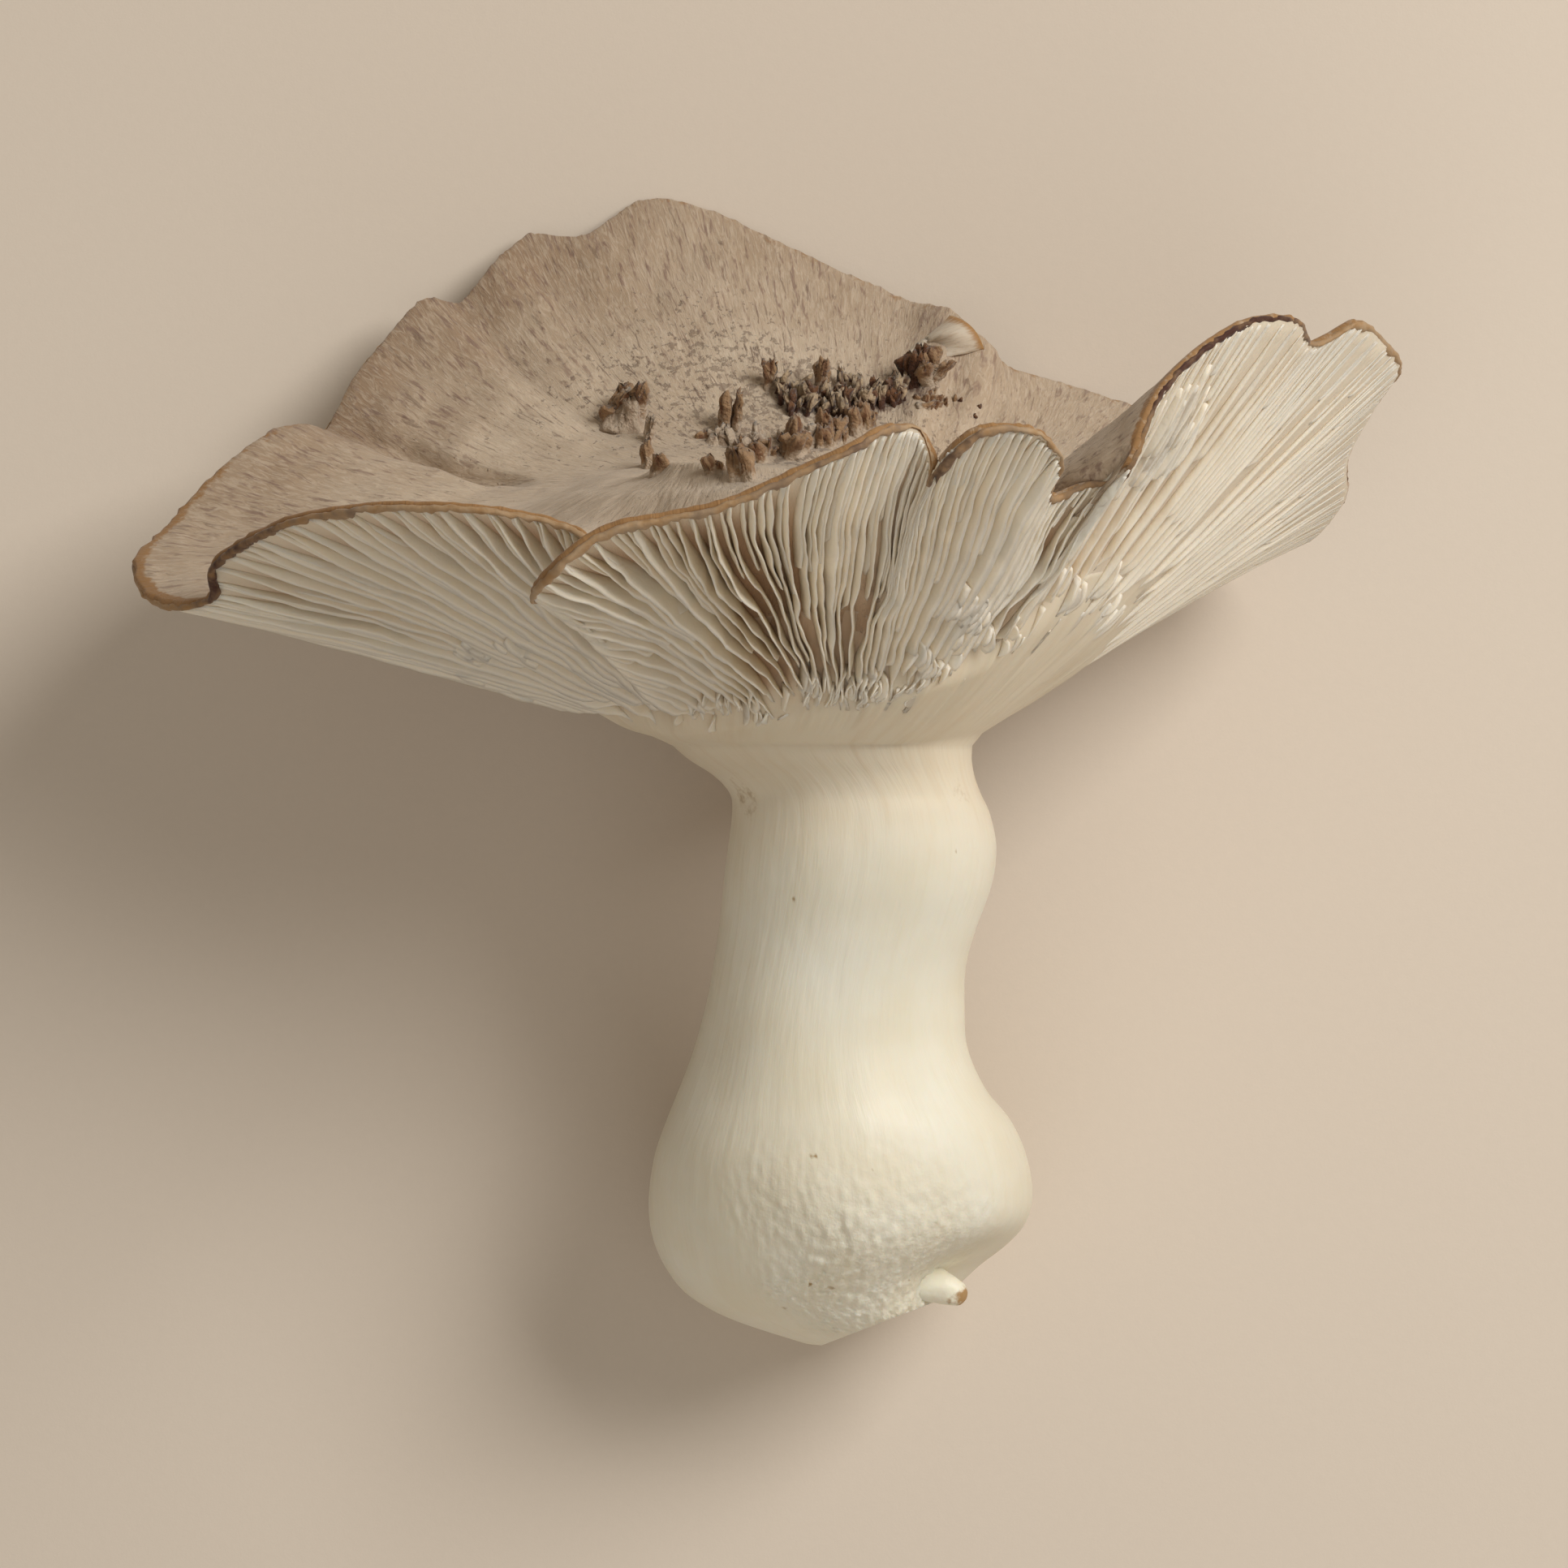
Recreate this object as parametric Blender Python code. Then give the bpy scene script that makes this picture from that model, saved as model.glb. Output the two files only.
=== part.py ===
"""King oyster mushroom, one solid, lying on its side.

Run it with: blender --background --python part.py

The shape is first set out in the mushroom's own frame, in millimetres: the origin is the middle of the neck,
where the gills run out onto the stem, +X goes across, +Y runs along the stem towards the cap and +Z is the
side that ends up facing upwards. It is then turned to the pose it rests in and scaled to metres.

A bearing is an angle round the stem: 0 is +X, 90 is +Z, 180 is -X and 270 is -Z. A reach is how far along a
gill a point lies: 0 at the neck and 1 at the cap's margin.
"""

import math
import random

import bmesh
import bpy
import numpy as np
from mathutils import Matrix, Vector
from mathutils.bvhtree import BVHTree

NODE_NAME = "king_oyster_mushroom"
MM = 0.001

# The cap's margin: bearing in degrees, then X, Y and Z in millimetres.
MARGIN = (
    (2, 56.0, 34.0, -6), (8, 58.5, 39.0, 0), (13, 60.2, 42.2, 6), (18, 57.8, 44.6, 12),
    (22, 55.0, 46.2, 17), (29, 49.0, 43.8, 21), (32, 47.6, 45.5, 26), (36, 43.0, 45.5, 31),
    (41, 37.8, 42.8, 36), (46, 33.3, 38.7, 40), (50, 31.0, 35.3, 42), (53, 29.7, 31.8, 42),
    (56, 28.0, 28.5, 41), (60, 24.0, 27.8, 38), (63, 20.7, 26.3, 38), (66, 20.5, 27.5, 43),
    (69, 21.2, 29.2, 48), (73, 19.2, 31.6, 53), (78, 15.8, 32.5, 56), (83, 11.7, 31.9, 57),
    (87, 8.6, 29.8, 55.5), (90, 7.5, 28.6, 54), (93, 6.4, 29.0, 52), (96, 5.4, 30.6, 52),
    (99, 4.6, 32.2, 54.5), (102, 3.0, 32.3, 57.5), (107, 0.0, 30.5, 60), (113, -4.8, 28.3, 60),
    (120, -13.0, 24.7, 59), (127, -19.5, 23.3, 58), (133, -26.1, 21.7, 57), (137, -30.8, 18.3, 55),
    (140, -33.4, 15.6, 50), (144, -30.6, 16.6, 43), (147, -28.6, 19.6, 38), (150, -29.0, 22.4, 35),
    (153, -32.4, 24.0, 34), (158, -42.3, 25.5, 33), (163, -53.8, 25.6, 27), (168, -63.1, 23.9, 19),
    (172, -69.8, 20.3, 11), (175, -70.3, 17.0, 8), (178, -74.0, 15.9, 5), (182, -78.3, 17.3, 0),
    (186, -80.0, 20.9, -5), (191, -77.6, 24.5, -10), (201, -70.1, 33.4, -18), (206, -65.8, 36.7, -22),
    (210, -63.1, 37.3, -25), (214, -60.8, 37.0, -29), (219, -57.3, 43.7, -33), (225, -53.8, 48.7, -37),
    (230, -50.2, 53.0, -40), (236, -45.2, 53.2, -41), (240, -41.7, 57.8, -43), (245, -38.0, 61.2, -46),
    (252, -31.4, 61.1, -45), (259, -25.0, 65.4, -48), (269, -15.9, 64.2, -48), (275, -9.1, 61.0, -47),
    (282, -2.8, 57.8, -46), (289, 3.4, 55.1, -45), (295, 8.2, 53.0, -43), (299, 12.2, 52.0, -40),
    (303, 15.6, 48.4, -38), (308, 17.6, 46.0, -42), (316, 24.6, 43.8, -46), (324, 34.1, 40.4, -44),
    (332, 41.5, 35.5, -40), (340, 48.7, 26.2, -34), (346, 53.2, 24.7, -28), (351, 55.9, 27.9, -20),
)
FULL_TURN = 360.0
MARGIN_TABLE_STEP = 0.5
# The margin's folds are what is left of it after smoothing over this many degrees.
FOLD_SPREAD = 14.0

# The stem: Y, then the X of its left and right sides, in millimetres.
STEM = (
    (1.0, -20.0, 13.4), (-0.6, -18.0, 13.4), (-2.3, -15.3, 13.7), (-4.3, -13.5, 14.4), (-6.6, -13.3, 15.4), (-10.5, -13.9, 16.2),
    (-14.5, -14.5, 15.7), (-19.0, -15.0, 14.1), (-23.6, -15.7, 12.8), (-28.2, -16.5, 12.4),
    (-32.8, -17.6, 12.9), (-37.5, -19.3, 15.2), (-41.2, -20.8, 18.0), (-45.0, -22.2, 19.7),
    (-48.9, -22.8, 20.5), (-52.6, -22.7, 20.1), (-55.8, -22.0, 18.3), (-58.6, -20.7, 15.0),
    (-61.2, -18.6, 12.0), (-63.6, -14.8, 10.5), (-65.4, -10.5, 9.5), (-67.0, -6.0, 8.5),
)
STEM_LEAN = math.radians(17)
STEM_ROUNDNESS = 0.98
# A dent beside the foot: bearing and Y of its middle, its spread in degrees and millimetres, and its depth.
DENT = {"bearing": 12.0, "y": -59.0, "bearing_spread": 22.0, "y_spread": 2.2, "depth": 3.0}

NECK_CENTRE = (-3.9, 2.0, 0.0)
NECK_HALF_WIDTH = (17.5, 17.0)
NECK_DROOP = 1.2

# The cap's flesh: the middle of its upper surface, its thickness over the neck and at the margin.
CAP_CENTRE = (-2.0, 31.0, -4.0)
FLESH_AT_NECK = 29.0
FLESH_FALL = 1.7
FLESH_AT_MARGIN = 0.9
# How far the gill side sags towards the stem, by bearing.
SAG = (
    (0, 2.0), (30, 3.5), (60, 4.0), (90, 3.0), (140, 2.2),
    (180, 2.4), (205, 2.8), (230, 3.2), (270, 4.0), (320, 3.0), (345, 2.0),
)
# The higher the power, the nearer the margin its folds stay. The skin has none of them short of a first reach.
FOLD_POWER = 2.0
SKIN_FOLDS = (0.1, 0.7)
ROOM_SHARE = 0.6
ROOM_REACH = 2

UNTANGLE_TURNS = 60

GILLS = 100
GILL_DEPTH = 3.6
GILL_RELIEF = 1.5
# How much the turn round the stem, the margin's length and its bends count in spacing out the gills.
BEARING_WEIGHTS = (0.35, 0.4, 0.25)
GILL_REACHES = (0.06, 0.16, 0.28, 0.42, 0.56, 0.7, 0.82, 0.92, 0.98)
FINE_SKIN_REACHES = (0.95, 0.84, 0.7)
SKIN_REACHES = (0.54, 0.38, 0.2, 0.0)
CROWN_SHARES = (0.66, 0.33)

# Clumps of scales on the cap: bearing, reach, how many, how far they scatter and how tall, in millimetres.
SCALE_CLUMPS = (
    (243, 0.55, 3, 2.2, 4.2), (234, 0.36, 2, 1.6, 2.6), (225, 0.18, 2, 1.4, 3.0),
    (261, 0.45, 4, 3.0, 2.8), (257, 0.26, 3, 2.4, 2.6), (119, 0.13, 2, 1.6, 4.0),
    (262, 0.12, 3, 3.0, 2.4), (274, 0.32, 4, 3.4, 2.6), (271, 0.59, 3, 2.2, 3.6),
    (278, 0.62, 4, 3.0, 3.6), (286, 0.62, 5, 3.4, 3.2), (292, 0.7, 5, 3.4, 2.8),
    (298, 0.76, 5, 3.2, 3.0), (298, 0.6, 3, 2.6, 2.2),
)
SCALE_SEED = 11
SCALE_TRIES = 40
SCALE_GAP = 2.2
SCALE_ROOT = 1.3
SCALE_SIDES = 6
SCALE_RADII = ((0.0, 0.95), (0.55, 0.75), (1.0, 0.42))

# The small side shoot at the foot, from its root to its tip.
SHOOT_ROOT = (5.0, -59.4, -12.5)
SHOOT_TIP = (13.0, -60.9, -10.5)
SHOOT_RADII = ((0.0, 1.9), (0.45, 2.1), (0.85, 1.5), (1.0, 0.7))
SHOOT_SIDES = 10

# Where the knife cut the foot: a point of the cut and the way it faces.
CUT_POINT = (4.7, -64.2, -18.0)
CUT_FACING = (0.356, -0.93, 0.09)
CUTTER_SIZE = 60.0

REST_PITCH = math.radians(5.7)
REST_ROLL = math.radians(0.24)

MATERIALS = {
    "cap_skin": ((0.55, 0.45, 0.35), 0.62),
    "gills": ((0.74, 0.68, 0.58), 0.6),
    "stem": ((0.84, 0.79, 0.66), 0.55),
    "scales": ((0.25, 0.15, 0.08), 0.75),
}
CAP_SKIN, GILL_SIDE, STEM_SIDE, SCALES = range(len(MATERIALS))


def course(table, at, closed=True):
    """Smooth values of a table's columns at the given keys, by cubic Hermite curves through its rows."""
    rows = np.array(table, float)
    keys, values = rows[:, 0], rows[:, 1:]
    if closed:
        at = np.mod(at - keys[0], FULL_TURN) + keys[0]
        keys = np.concatenate([keys[-2:] - FULL_TURN, keys, keys[:3] + FULL_TURN])
        values = np.concatenate([values[-2:], values, values[:3]])
    slopes = np.gradient(values, keys, axis=0)
    i = np.clip(np.searchsorted(keys, at, side="right") - 1, 0, len(keys) - 2)
    gap = (keys[i + 1] - keys[i])[:, None]
    t = (at - keys[i])[:, None] / gap
    return (
        values[i] * (1 + 2 * t) * (1 - t) ** 2
        + slopes[i] * gap * t * (1 - t) ** 2
        + values[i + 1] * t * t * (3 - 2 * t)
        - slopes[i + 1] * gap * t * t * (1 - t)
    )


def broad_margin():
    """The margin without its folds, as a table by bearing."""
    bearings = np.arange(0.0, FULL_TURN, MARGIN_TABLE_STEP)
    distance = np.minimum(bearings, FULL_TURN - bearings)
    weight = np.exp(-0.5 * (distance / FOLD_SPREAD) ** 2)
    spectrum = np.fft.rfft(course(MARGIN, bearings), axis=0)
    spectrum *= np.fft.rfft(weight / weight.sum())[:, None]
    smooth = np.fft.irfft(spectrum, n=len(bearings), axis=0)
    return np.column_stack([bearings, smooth])


BROAD_MARGIN = broad_margin()


def neck(bearings):
    """The ring on the stem where the gills begin."""
    angle = np.radians(bearings)
    x = NECK_CENTRE[0] + NECK_HALF_WIDTH[0] * np.cos(angle)
    y = NECK_CENTRE[1] - NECK_DROOP * np.sin(angle)
    z = NECK_CENTRE[2] + NECK_HALF_WIDTH[1] * np.sin(angle)
    return np.column_stack([x, y, z])


def eased(value, start, end):
    """A smooth step from 0 to 1 between two values."""
    t = np.clip((np.asarray(value, float) - start) / (end - start), 0, 1)
    return t * t * (3 - 2 * t)


def sheet(bearings, reaches, under_skin=False):
    """Points of a sheet from the neck to the margin, one row for each reach."""
    start = neck(bearings)
    broad = course(BROAD_MARGIN, bearings)
    folds = course(MARGIN, bearings) - broad
    sag = course(SAG, bearings)[:, 0]
    points = np.empty((len(reaches), len(bearings), 3))
    for row, reach in enumerate(reaches):
        folding = reach**FOLD_POWER * (eased(reach, *SKIN_FOLDS) if under_skin else 1)
        points[row] = start * (1 - reach) + broad * reach + folds * folding
        points[row, :, 1] -= sag * 4 * reach * (1 - reach) * (1 - 0.4 * reach)
    return points


def sheet_normals(bearings, reaches, under_skin=False):
    """Unit normals of that sheet, pointing out of the flesh on the side of the gills."""
    bearing_step, reach_step = 0.4, 0.01
    lower = np.maximum(np.array(reaches) - reach_step, 0)
    upper = np.minimum(np.array(reaches) + reach_step, 1)
    outward = sheet(bearings, upper, under_skin) - sheet(bearings, lower, under_skin)
    around = sheet(bearings + bearing_step, reaches, under_skin)
    around -= sheet(bearings - bearing_step, reaches, under_skin)
    normals = np.cross(outward, around)
    return normals / np.linalg.norm(normals, axis=2, keepdims=True)


def room(bearings, reaches, under_skin=False):
    """How far the sheet can be moved along its normals before a tight fold runs into itself."""
    step = 1.5
    every = np.arange(0.0, FULL_TURN, 1.0)
    ahead, behind = every + step, every - step
    turning = sheet_normals(ahead, reaches, under_skin) - sheet_normals(behind, reaches, under_skin)
    moving = sheet(ahead, reaches, under_skin) - sheet(behind, reaches, under_skin)
    free = ROOM_SHARE * np.linalg.norm(moving, axis=2) / np.linalg.norm(turning, axis=2)
    shifts = range(-ROOM_REACH, ROOM_REACH + 1)
    least = np.min([np.roll(free, shift, axis=1) for shift in shifts], axis=0)
    return course(np.column_stack([every, least.T]), bearings).T


def gill_depth(reaches):
    """How far the gills stand out of the flesh, in millimetres: nothing at the neck, little at the margin."""
    reaches = np.asarray(reaches, float)
    rise = np.clip(reaches / 0.25, 0, 1)
    fall = np.clip((1 - reaches) / 0.3, 0, 1)
    return GILL_DEPTH * rise * rise * (3 - 2 * rise) * (0.08 + 0.92 * fall**0.8)


def skin(bearings, reaches):
    """The cap's upper surface, one row for each reach."""
    reaches = np.asarray(reaches, float)
    points = sheet(bearings, reaches, under_skin=True)
    thickness = gill_depth(reaches) + FLESH_AT_MARGIN * (1 + 0.6 * np.sqrt(1 - reaches))
    free = np.maximum(room(bearings, reaches, under_skin=True), FLESH_AT_MARGIN)
    thickness = np.minimum(thickness[:, None], free)
    points -= sheet_normals(bearings, reaches, under_skin=True) * thickness[:, :, None]
    points[:, :, 1] += (FLESH_AT_NECK * (1 - reaches) ** FLESH_FALL)[:, None]
    return points


def skin_point(bearing, reach):
    """One point of the cap's upper surface."""
    return Vector(skin(np.array([bearing]), (reach,))[0, 0])


def spread_bearings(count):
    """Bearings that share out the turn round the stem, the margin's length and its bends."""
    bearings = np.arange(0.0, FULL_TURN + MARGIN_TABLE_STEP, MARGIN_TABLE_STEP)
    steps = np.diff(course(MARGIN, bearings), axis=0)
    lengths = np.linalg.norm(steps, axis=1)
    ways = steps / lengths[:, None]
    bends = np.linalg.norm(np.roll(ways, -4, axis=0) - np.roll(ways, 4, axis=0), axis=1)
    share = sum(
        weight * measure / measure.sum()
        for weight, measure in zip(BEARING_WEIGHTS, (np.ones(len(steps)), lengths, bends))
    )
    return np.interp(np.arange(count) / count, np.concatenate([[0], np.cumsum(share)]), bearings)


def stem_ring(y, left, right, bearings):
    """One ring of the stem."""
    angle = np.radians(bearings)
    half = (right - left) / 2
    turn = (bearings - DENT["bearing"] + FULL_TURN / 2) % FULL_TURN - FULL_TURN / 2
    across = np.exp(-0.5 * (turn / DENT["bearing_spread"]) ** 2)
    along = math.exp(-0.5 * ((y - DENT["y"]) / DENT["y_spread"]) ** 2)
    radius = half - DENT["depth"] * across * along
    x = (left + right) / 2 + radius * np.cos(angle)
    z = y * math.tan(STEM_LEAN) + radius * STEM_ROUNDNESS * np.sin(angle)
    return np.column_stack([x, np.full(len(x), y), z])


def bridge(bm, lower, higher, material):
    """Joins two rings of vertices, one of them as many times finer than the other as a whole number."""
    fine, coarse = (lower, higher) if len(lower) >= len(higher) else (higher, lower)
    times = len(fine) // len(coarse)
    middle = (times + 1) // 2
    for i, here in enumerate(coarse):
        following = coarse[(i + 1) % len(coarse)]
        run = [fine[(i * times + k) % len(fine)] for k in range(times + 1)]
        faces = [(run[k], run[k + 1], here if k < middle else following) for k in range(times)]
        faces.append((run[middle], following, here))
        for corners in faces:
            bm.faces.new(corners).material_index = material


def close(bm, ring, point, material):
    """Closes a ring of vertices with a fan to a point."""
    pole = bm.verts.new(point)
    for i, here in enumerate(ring):
        bm.faces.new((pole, here, ring[(i + 1) % len(ring)])).material_index = material


def new_object(bm, name):
    """A smooth-shaded object with the part's materials from a bmesh."""
    bmesh.ops.recalc_face_normals(bm, faces=bm.faces)
    mesh = bpy.data.meshes.new(name)
    bm.to_mesh(mesh)
    bm.free()
    for material in MATERIALS:
        mesh.materials.append(bpy.data.materials[material])
    mesh.shade_smooth()
    return bpy.data.objects.new(name, mesh)


def build_body():
    """The mushroom as one closed skin: stem, gills, margin and the cap's upper surface."""
    gill_bearings = spread_bearings(2 * GILLS)
    stem_bearings = gill_bearings[::4]
    skin_bearings = gill_bearings[::2]

    gills = sheet(gill_bearings, GILL_REACHES)
    furrows = np.minimum(gill_depth(GILL_REACHES), GILL_RELIEF)[:, None]
    furrows = np.minimum(furrows, room(gill_bearings, GILL_REACHES))
    inward = sheet_normals(gill_bearings, GILL_REACHES) * furrows[:, :, None]
    gills[:, ::2] -= inward[:, ::2]
    fine_upper = skin(gill_bearings, FINE_SKIN_REACHES)
    upper = skin(skin_bearings, SKIN_REACHES)
    crown = skin(stem_bearings, (0.0,))[0]
    middle = np.array(CAP_CENTRE)

    rows = [(stem_ring(*row, stem_bearings), STEM_SIDE) for row in reversed(STEM)]
    rows += [(row, GILL_SIDE) for row in gills]
    rows.append((course(MARGIN, gill_bearings), CAP_SKIN))
    rows += [(row, CAP_SKIN) for row in [*fine_upper, *upper]]
    rows += [(middle + (crown - middle) * share, CAP_SKIN) for share in CROWN_SHARES]

    bm = bmesh.new()
    rings = [[bm.verts.new(point) for point in points] for points, _ in rows]
    for lower, higher, (_, material) in zip(rings, rings[1:], rows):
        bridge(bm, lower, higher, material)
    close(bm, rings[0], np.mean(rows[0][0], axis=0), STEM_SIDE)
    close(bm, rings[-1], middle, CAP_SKIN)
    body = new_object(bm, NODE_NAME)
    untangle(body.data)
    return body


def untangle(mesh):
    """Relaxes the folds that touch themselves until no triangle crosses another."""
    bm = bmesh.new()
    bm.from_mesh(mesh)
    for turn in range(UNTANGLE_TURNS):
        tree = BVHTree.FromBMesh(bm)
        bm.faces.ensure_lookup_table()
        crossing = set()
        for one, other in tree.overlap(tree):
            first, second = bm.faces[one], bm.faces[other]
            if one < other and not set(first.verts) & set(second.verts):
                crossing.update([*first.verts, *second.verts])
        if not crossing:
            break
        around = {edge.other_vert(vertex) for vertex in crossing for edge in vertex.link_edges}
        loose = sorted(crossing | around, key=lambda vertex: vertex.index)
        bmesh.ops.smooth_vert(
            bm, verts=loose, factor=0.5, use_axis_x=True, use_axis_y=True, use_axis_z=True
        )
    print("untangled in", turn, "turns, still crossing:", len(crossing))
    bm.to_mesh(mesh)
    bm.free()


def taper(root, tip, radii, sides, material, name):
    """A closed tapering rod from one point to another, its radii given along its length."""
    axis = tip - root
    turn = axis.to_track_quat("Z", "Y")
    bm = bmesh.new()
    rings = []
    for share, radius in radii:
        angles = [2 * math.pi * i / sides for i in range(sides)]
        flat = [Vector((radius * math.cos(a), radius * math.sin(a), 0)) for a in angles]
        rings.append([bm.verts.new(root + axis * share + turn @ point) for point in flat])
    for lower, higher in zip(rings, rings[1:]):
        bridge(bm, lower, higher, material)
    close(bm, rings[0], root, material)
    close(bm, rings[-1], tip, material)
    return new_object(bm, name)


def build_scales(body):
    """The cap's scales, scattered round the middle of each clump and kept apart from one another."""
    chance = random.Random(SCALE_SEED)
    scales = []
    feet = []
    for bearing, reach, count, scatter, height in SCALE_CLUMPS:
        distance = max((skin_point(bearing, reach) - Vector(CAP_CENTRE)).length, scatter)
        placed = 0
        for _ in range(SCALE_TRIES):
            aside = math.degrees(chance.gauss(0, 0.5) * scatter / distance)
            along = chance.gauss(0, 0.5) * scatter / distance * max(reach, 0.3)
            foot = skin_point(bearing + aside, min(max(reach + along, 0.03), 0.9))
            _, foot, normal, _ = body.closest_point_on_mesh(foot)
            if any((foot - other).length < SCALE_GAP for other in feet):
                continue
            feet.append(foot)
            lean = Vector([chance.uniform(-0.35, 0.35) for _ in range(3)])
            rise = (normal + lean).normalized() * height * chance.uniform(0.6, 1.1)
            root = foot - normal * SCALE_ROOT
            scales.append(taper(root, foot + rise, SCALE_RADII, SCALE_SIDES, SCALES, "scale"))
            placed += 1
            if placed == count:
                break
    return scales


def build_cutter():
    """A block whose one face is the knife cut."""
    bm = bmesh.new()
    bmesh.ops.create_cube(bm, size=CUTTER_SIZE)
    for face in bm.faces:
        face.material_index = STEM_SIDE
    cutter = new_object(bm, "knife_cut")
    facing = Vector(CUT_FACING).normalized()
    turn = facing.to_track_quat("Z", "Y").to_matrix().to_4x4()
    middle = Vector(CUT_POINT) + facing * CUTTER_SIZE / 2
    cutter.data.transform(Matrix.Translation(middle) @ turn)
    cutter.hide_render = True
    cutter.display_type = "WIRE"
    return cutter


def boolean(body, operation, name, **operand):
    """Applies one Boolean to the body and leaves a plain mesh."""
    modifier = body.modifiers.new(name, "BOOLEAN")
    modifier.operation = operation
    modifier.solver = "EXACT"
    for key, value in operand.items():
        setattr(modifier, key, value)
    shaped = body.evaluated_get(bpy.context.evaluated_depsgraph_get())
    mesh = bpy.data.meshes.new_from_object(shaped)
    body.modifiers.clear()
    body.data = mesh
    mesh.name = NODE_NAME


def lay_down(mesh):
    """Turns the mushroom to the pose it rests in, flattens what would sink into the ground and centres it."""
    turn = Matrix.Rotation(REST_ROLL, 4, "Y") @ Matrix.Rotation(REST_PITCH, 4, "X")
    mesh.transform(turn)
    cap_low = min(vertex.co.z for vertex in mesh.vertices if vertex.co.y > 0)
    for vertex in mesh.vertices:
        vertex.co.z = max(vertex.co.z - cap_low, 0.0)
    spans = [[vertex.co[axis] for vertex in mesh.vertices] for axis in range(2)]
    middle = [(min(span) + max(span)) / 2 for span in spans]
    mesh.transform(Matrix.Translation((-middle[0], -middle[1], 0)))
    mesh.transform(Matrix.Scale(MM, 4))
    print("moved by", [round(-value, 3) for value in (*middle, cap_low)])


def main():
    for leftover in list(bpy.data.objects):
        bpy.data.objects.remove(leftover)
    for name, (colour, roughness) in MATERIALS.items():
        material = bpy.data.materials.new(name)
        material.use_nodes = True
        shader = material.node_tree.nodes["Principled BSDF"]
        shader.inputs["Base Color"].default_value = (*colour, 1)
        shader.inputs["Roughness"].default_value = roughness

    scene = bpy.context.scene.collection
    body = build_body()
    scene.objects.link(body)
    bpy.context.view_layer.update()
    additions = bpy.data.collections.new("additions")
    scene.children.link(additions)
    shoot = taper(Vector(SHOOT_ROOT), Vector(SHOOT_TIP), SHOOT_RADII, SHOOT_SIDES, STEM_SIDE, "shoot")
    for item in [*build_scales(body), shoot]:
        additions.objects.link(item)
    boolean(body, "UNION", "scales and shoot", operand_type="COLLECTION", collection=additions)
    cutter = build_cutter()
    scene.objects.link(cutter)
    boolean(body, "DIFFERENCE", "knife cut", object=cutter)
    for tool in [*additions.objects, cutter]:
        bpy.data.objects.remove(tool)
    bpy.data.collections.remove(additions)
    lay_down(body.data)


main()
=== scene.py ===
import math
import random

import bmesh
import bpy
import numpy as np
from mathutils import Matrix, Vector, noise
from mathutils.bvhtree import BVHTree


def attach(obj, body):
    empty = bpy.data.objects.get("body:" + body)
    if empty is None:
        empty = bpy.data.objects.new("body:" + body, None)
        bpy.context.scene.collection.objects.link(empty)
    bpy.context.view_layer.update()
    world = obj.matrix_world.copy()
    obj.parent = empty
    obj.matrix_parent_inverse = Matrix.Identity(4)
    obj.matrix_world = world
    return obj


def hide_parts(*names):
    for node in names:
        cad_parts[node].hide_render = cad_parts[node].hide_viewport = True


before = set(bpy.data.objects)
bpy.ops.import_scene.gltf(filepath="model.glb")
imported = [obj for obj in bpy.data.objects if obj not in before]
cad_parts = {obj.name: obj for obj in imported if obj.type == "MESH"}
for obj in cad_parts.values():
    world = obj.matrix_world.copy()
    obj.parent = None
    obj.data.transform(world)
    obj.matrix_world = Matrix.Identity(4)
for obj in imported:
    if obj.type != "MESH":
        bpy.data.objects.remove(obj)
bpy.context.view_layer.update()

# Everything is worked out in the mushroom's own frame, in millimetres: +X across, +Y from the stem to the
# cap, +Z facing up, the middle of the neck at the origin. A bearing is an angle round the stem in degrees, 0
# at +X and 90 at +Z. A reach runs along a gill, from 0 at the neck to 1 at the margin. laid() turns points to
# the resting pose.
nodeName = "king_oyster_mushroom"
bodyName = "root"
mm = 0.001
fullTurn = 360.0

rest = {
    "pitch": 5.7,  # degrees about X
    "roll": 0.24,  # degrees about Y
    "shift": (9.916, -2.57, 41.612),  # millimetres, after the turns
}
restTurn = Matrix.Rotation(math.radians(rest["roll"]), 4, "Y")
restTurn = restTurn @ Matrix.Rotation(math.radians(rest["pitch"]), 4, "X")
restTurn3 = np.array(restTurn.to_3x3())
restShift = np.array(rest["shift"])

view = {
    "eye": (-7.56, -3.24, 652.0),  # millimetres, in the mushroom's own frame, looking down -Z
    "lens": 134.9,
    "sensor": 36.0,
    "frameSize": 1932,  # pixels of the photograph
}

# The shape that every piece follows.
shape = {
    "marginStep": 0.5,
    "foldSpread": 14.0,
    "foldPower": 2.0,
    "skinFolds": (0.1, 0.7),
    "neckCentre": (-3.9, 2.0, 0.0),
    "neckHalf": (17.5, 17.0),
    "neckDroop": 1.2,
    "capCentre": (-2.0, 31.0, -4.0),
    "fleshAtNeck": 29.0,
    "fleshFall": 1.7,
    "fleshAtMargin": 0.9,
    "skinDepth": 3.6,
    "roomShare": 0.6,
    "roomReach": 2,
    "bearingWeights": (0.35, 0.4, 0.25),
    "stemLean": math.radians(17),
    "stemRound": 0.98,
}

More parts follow.
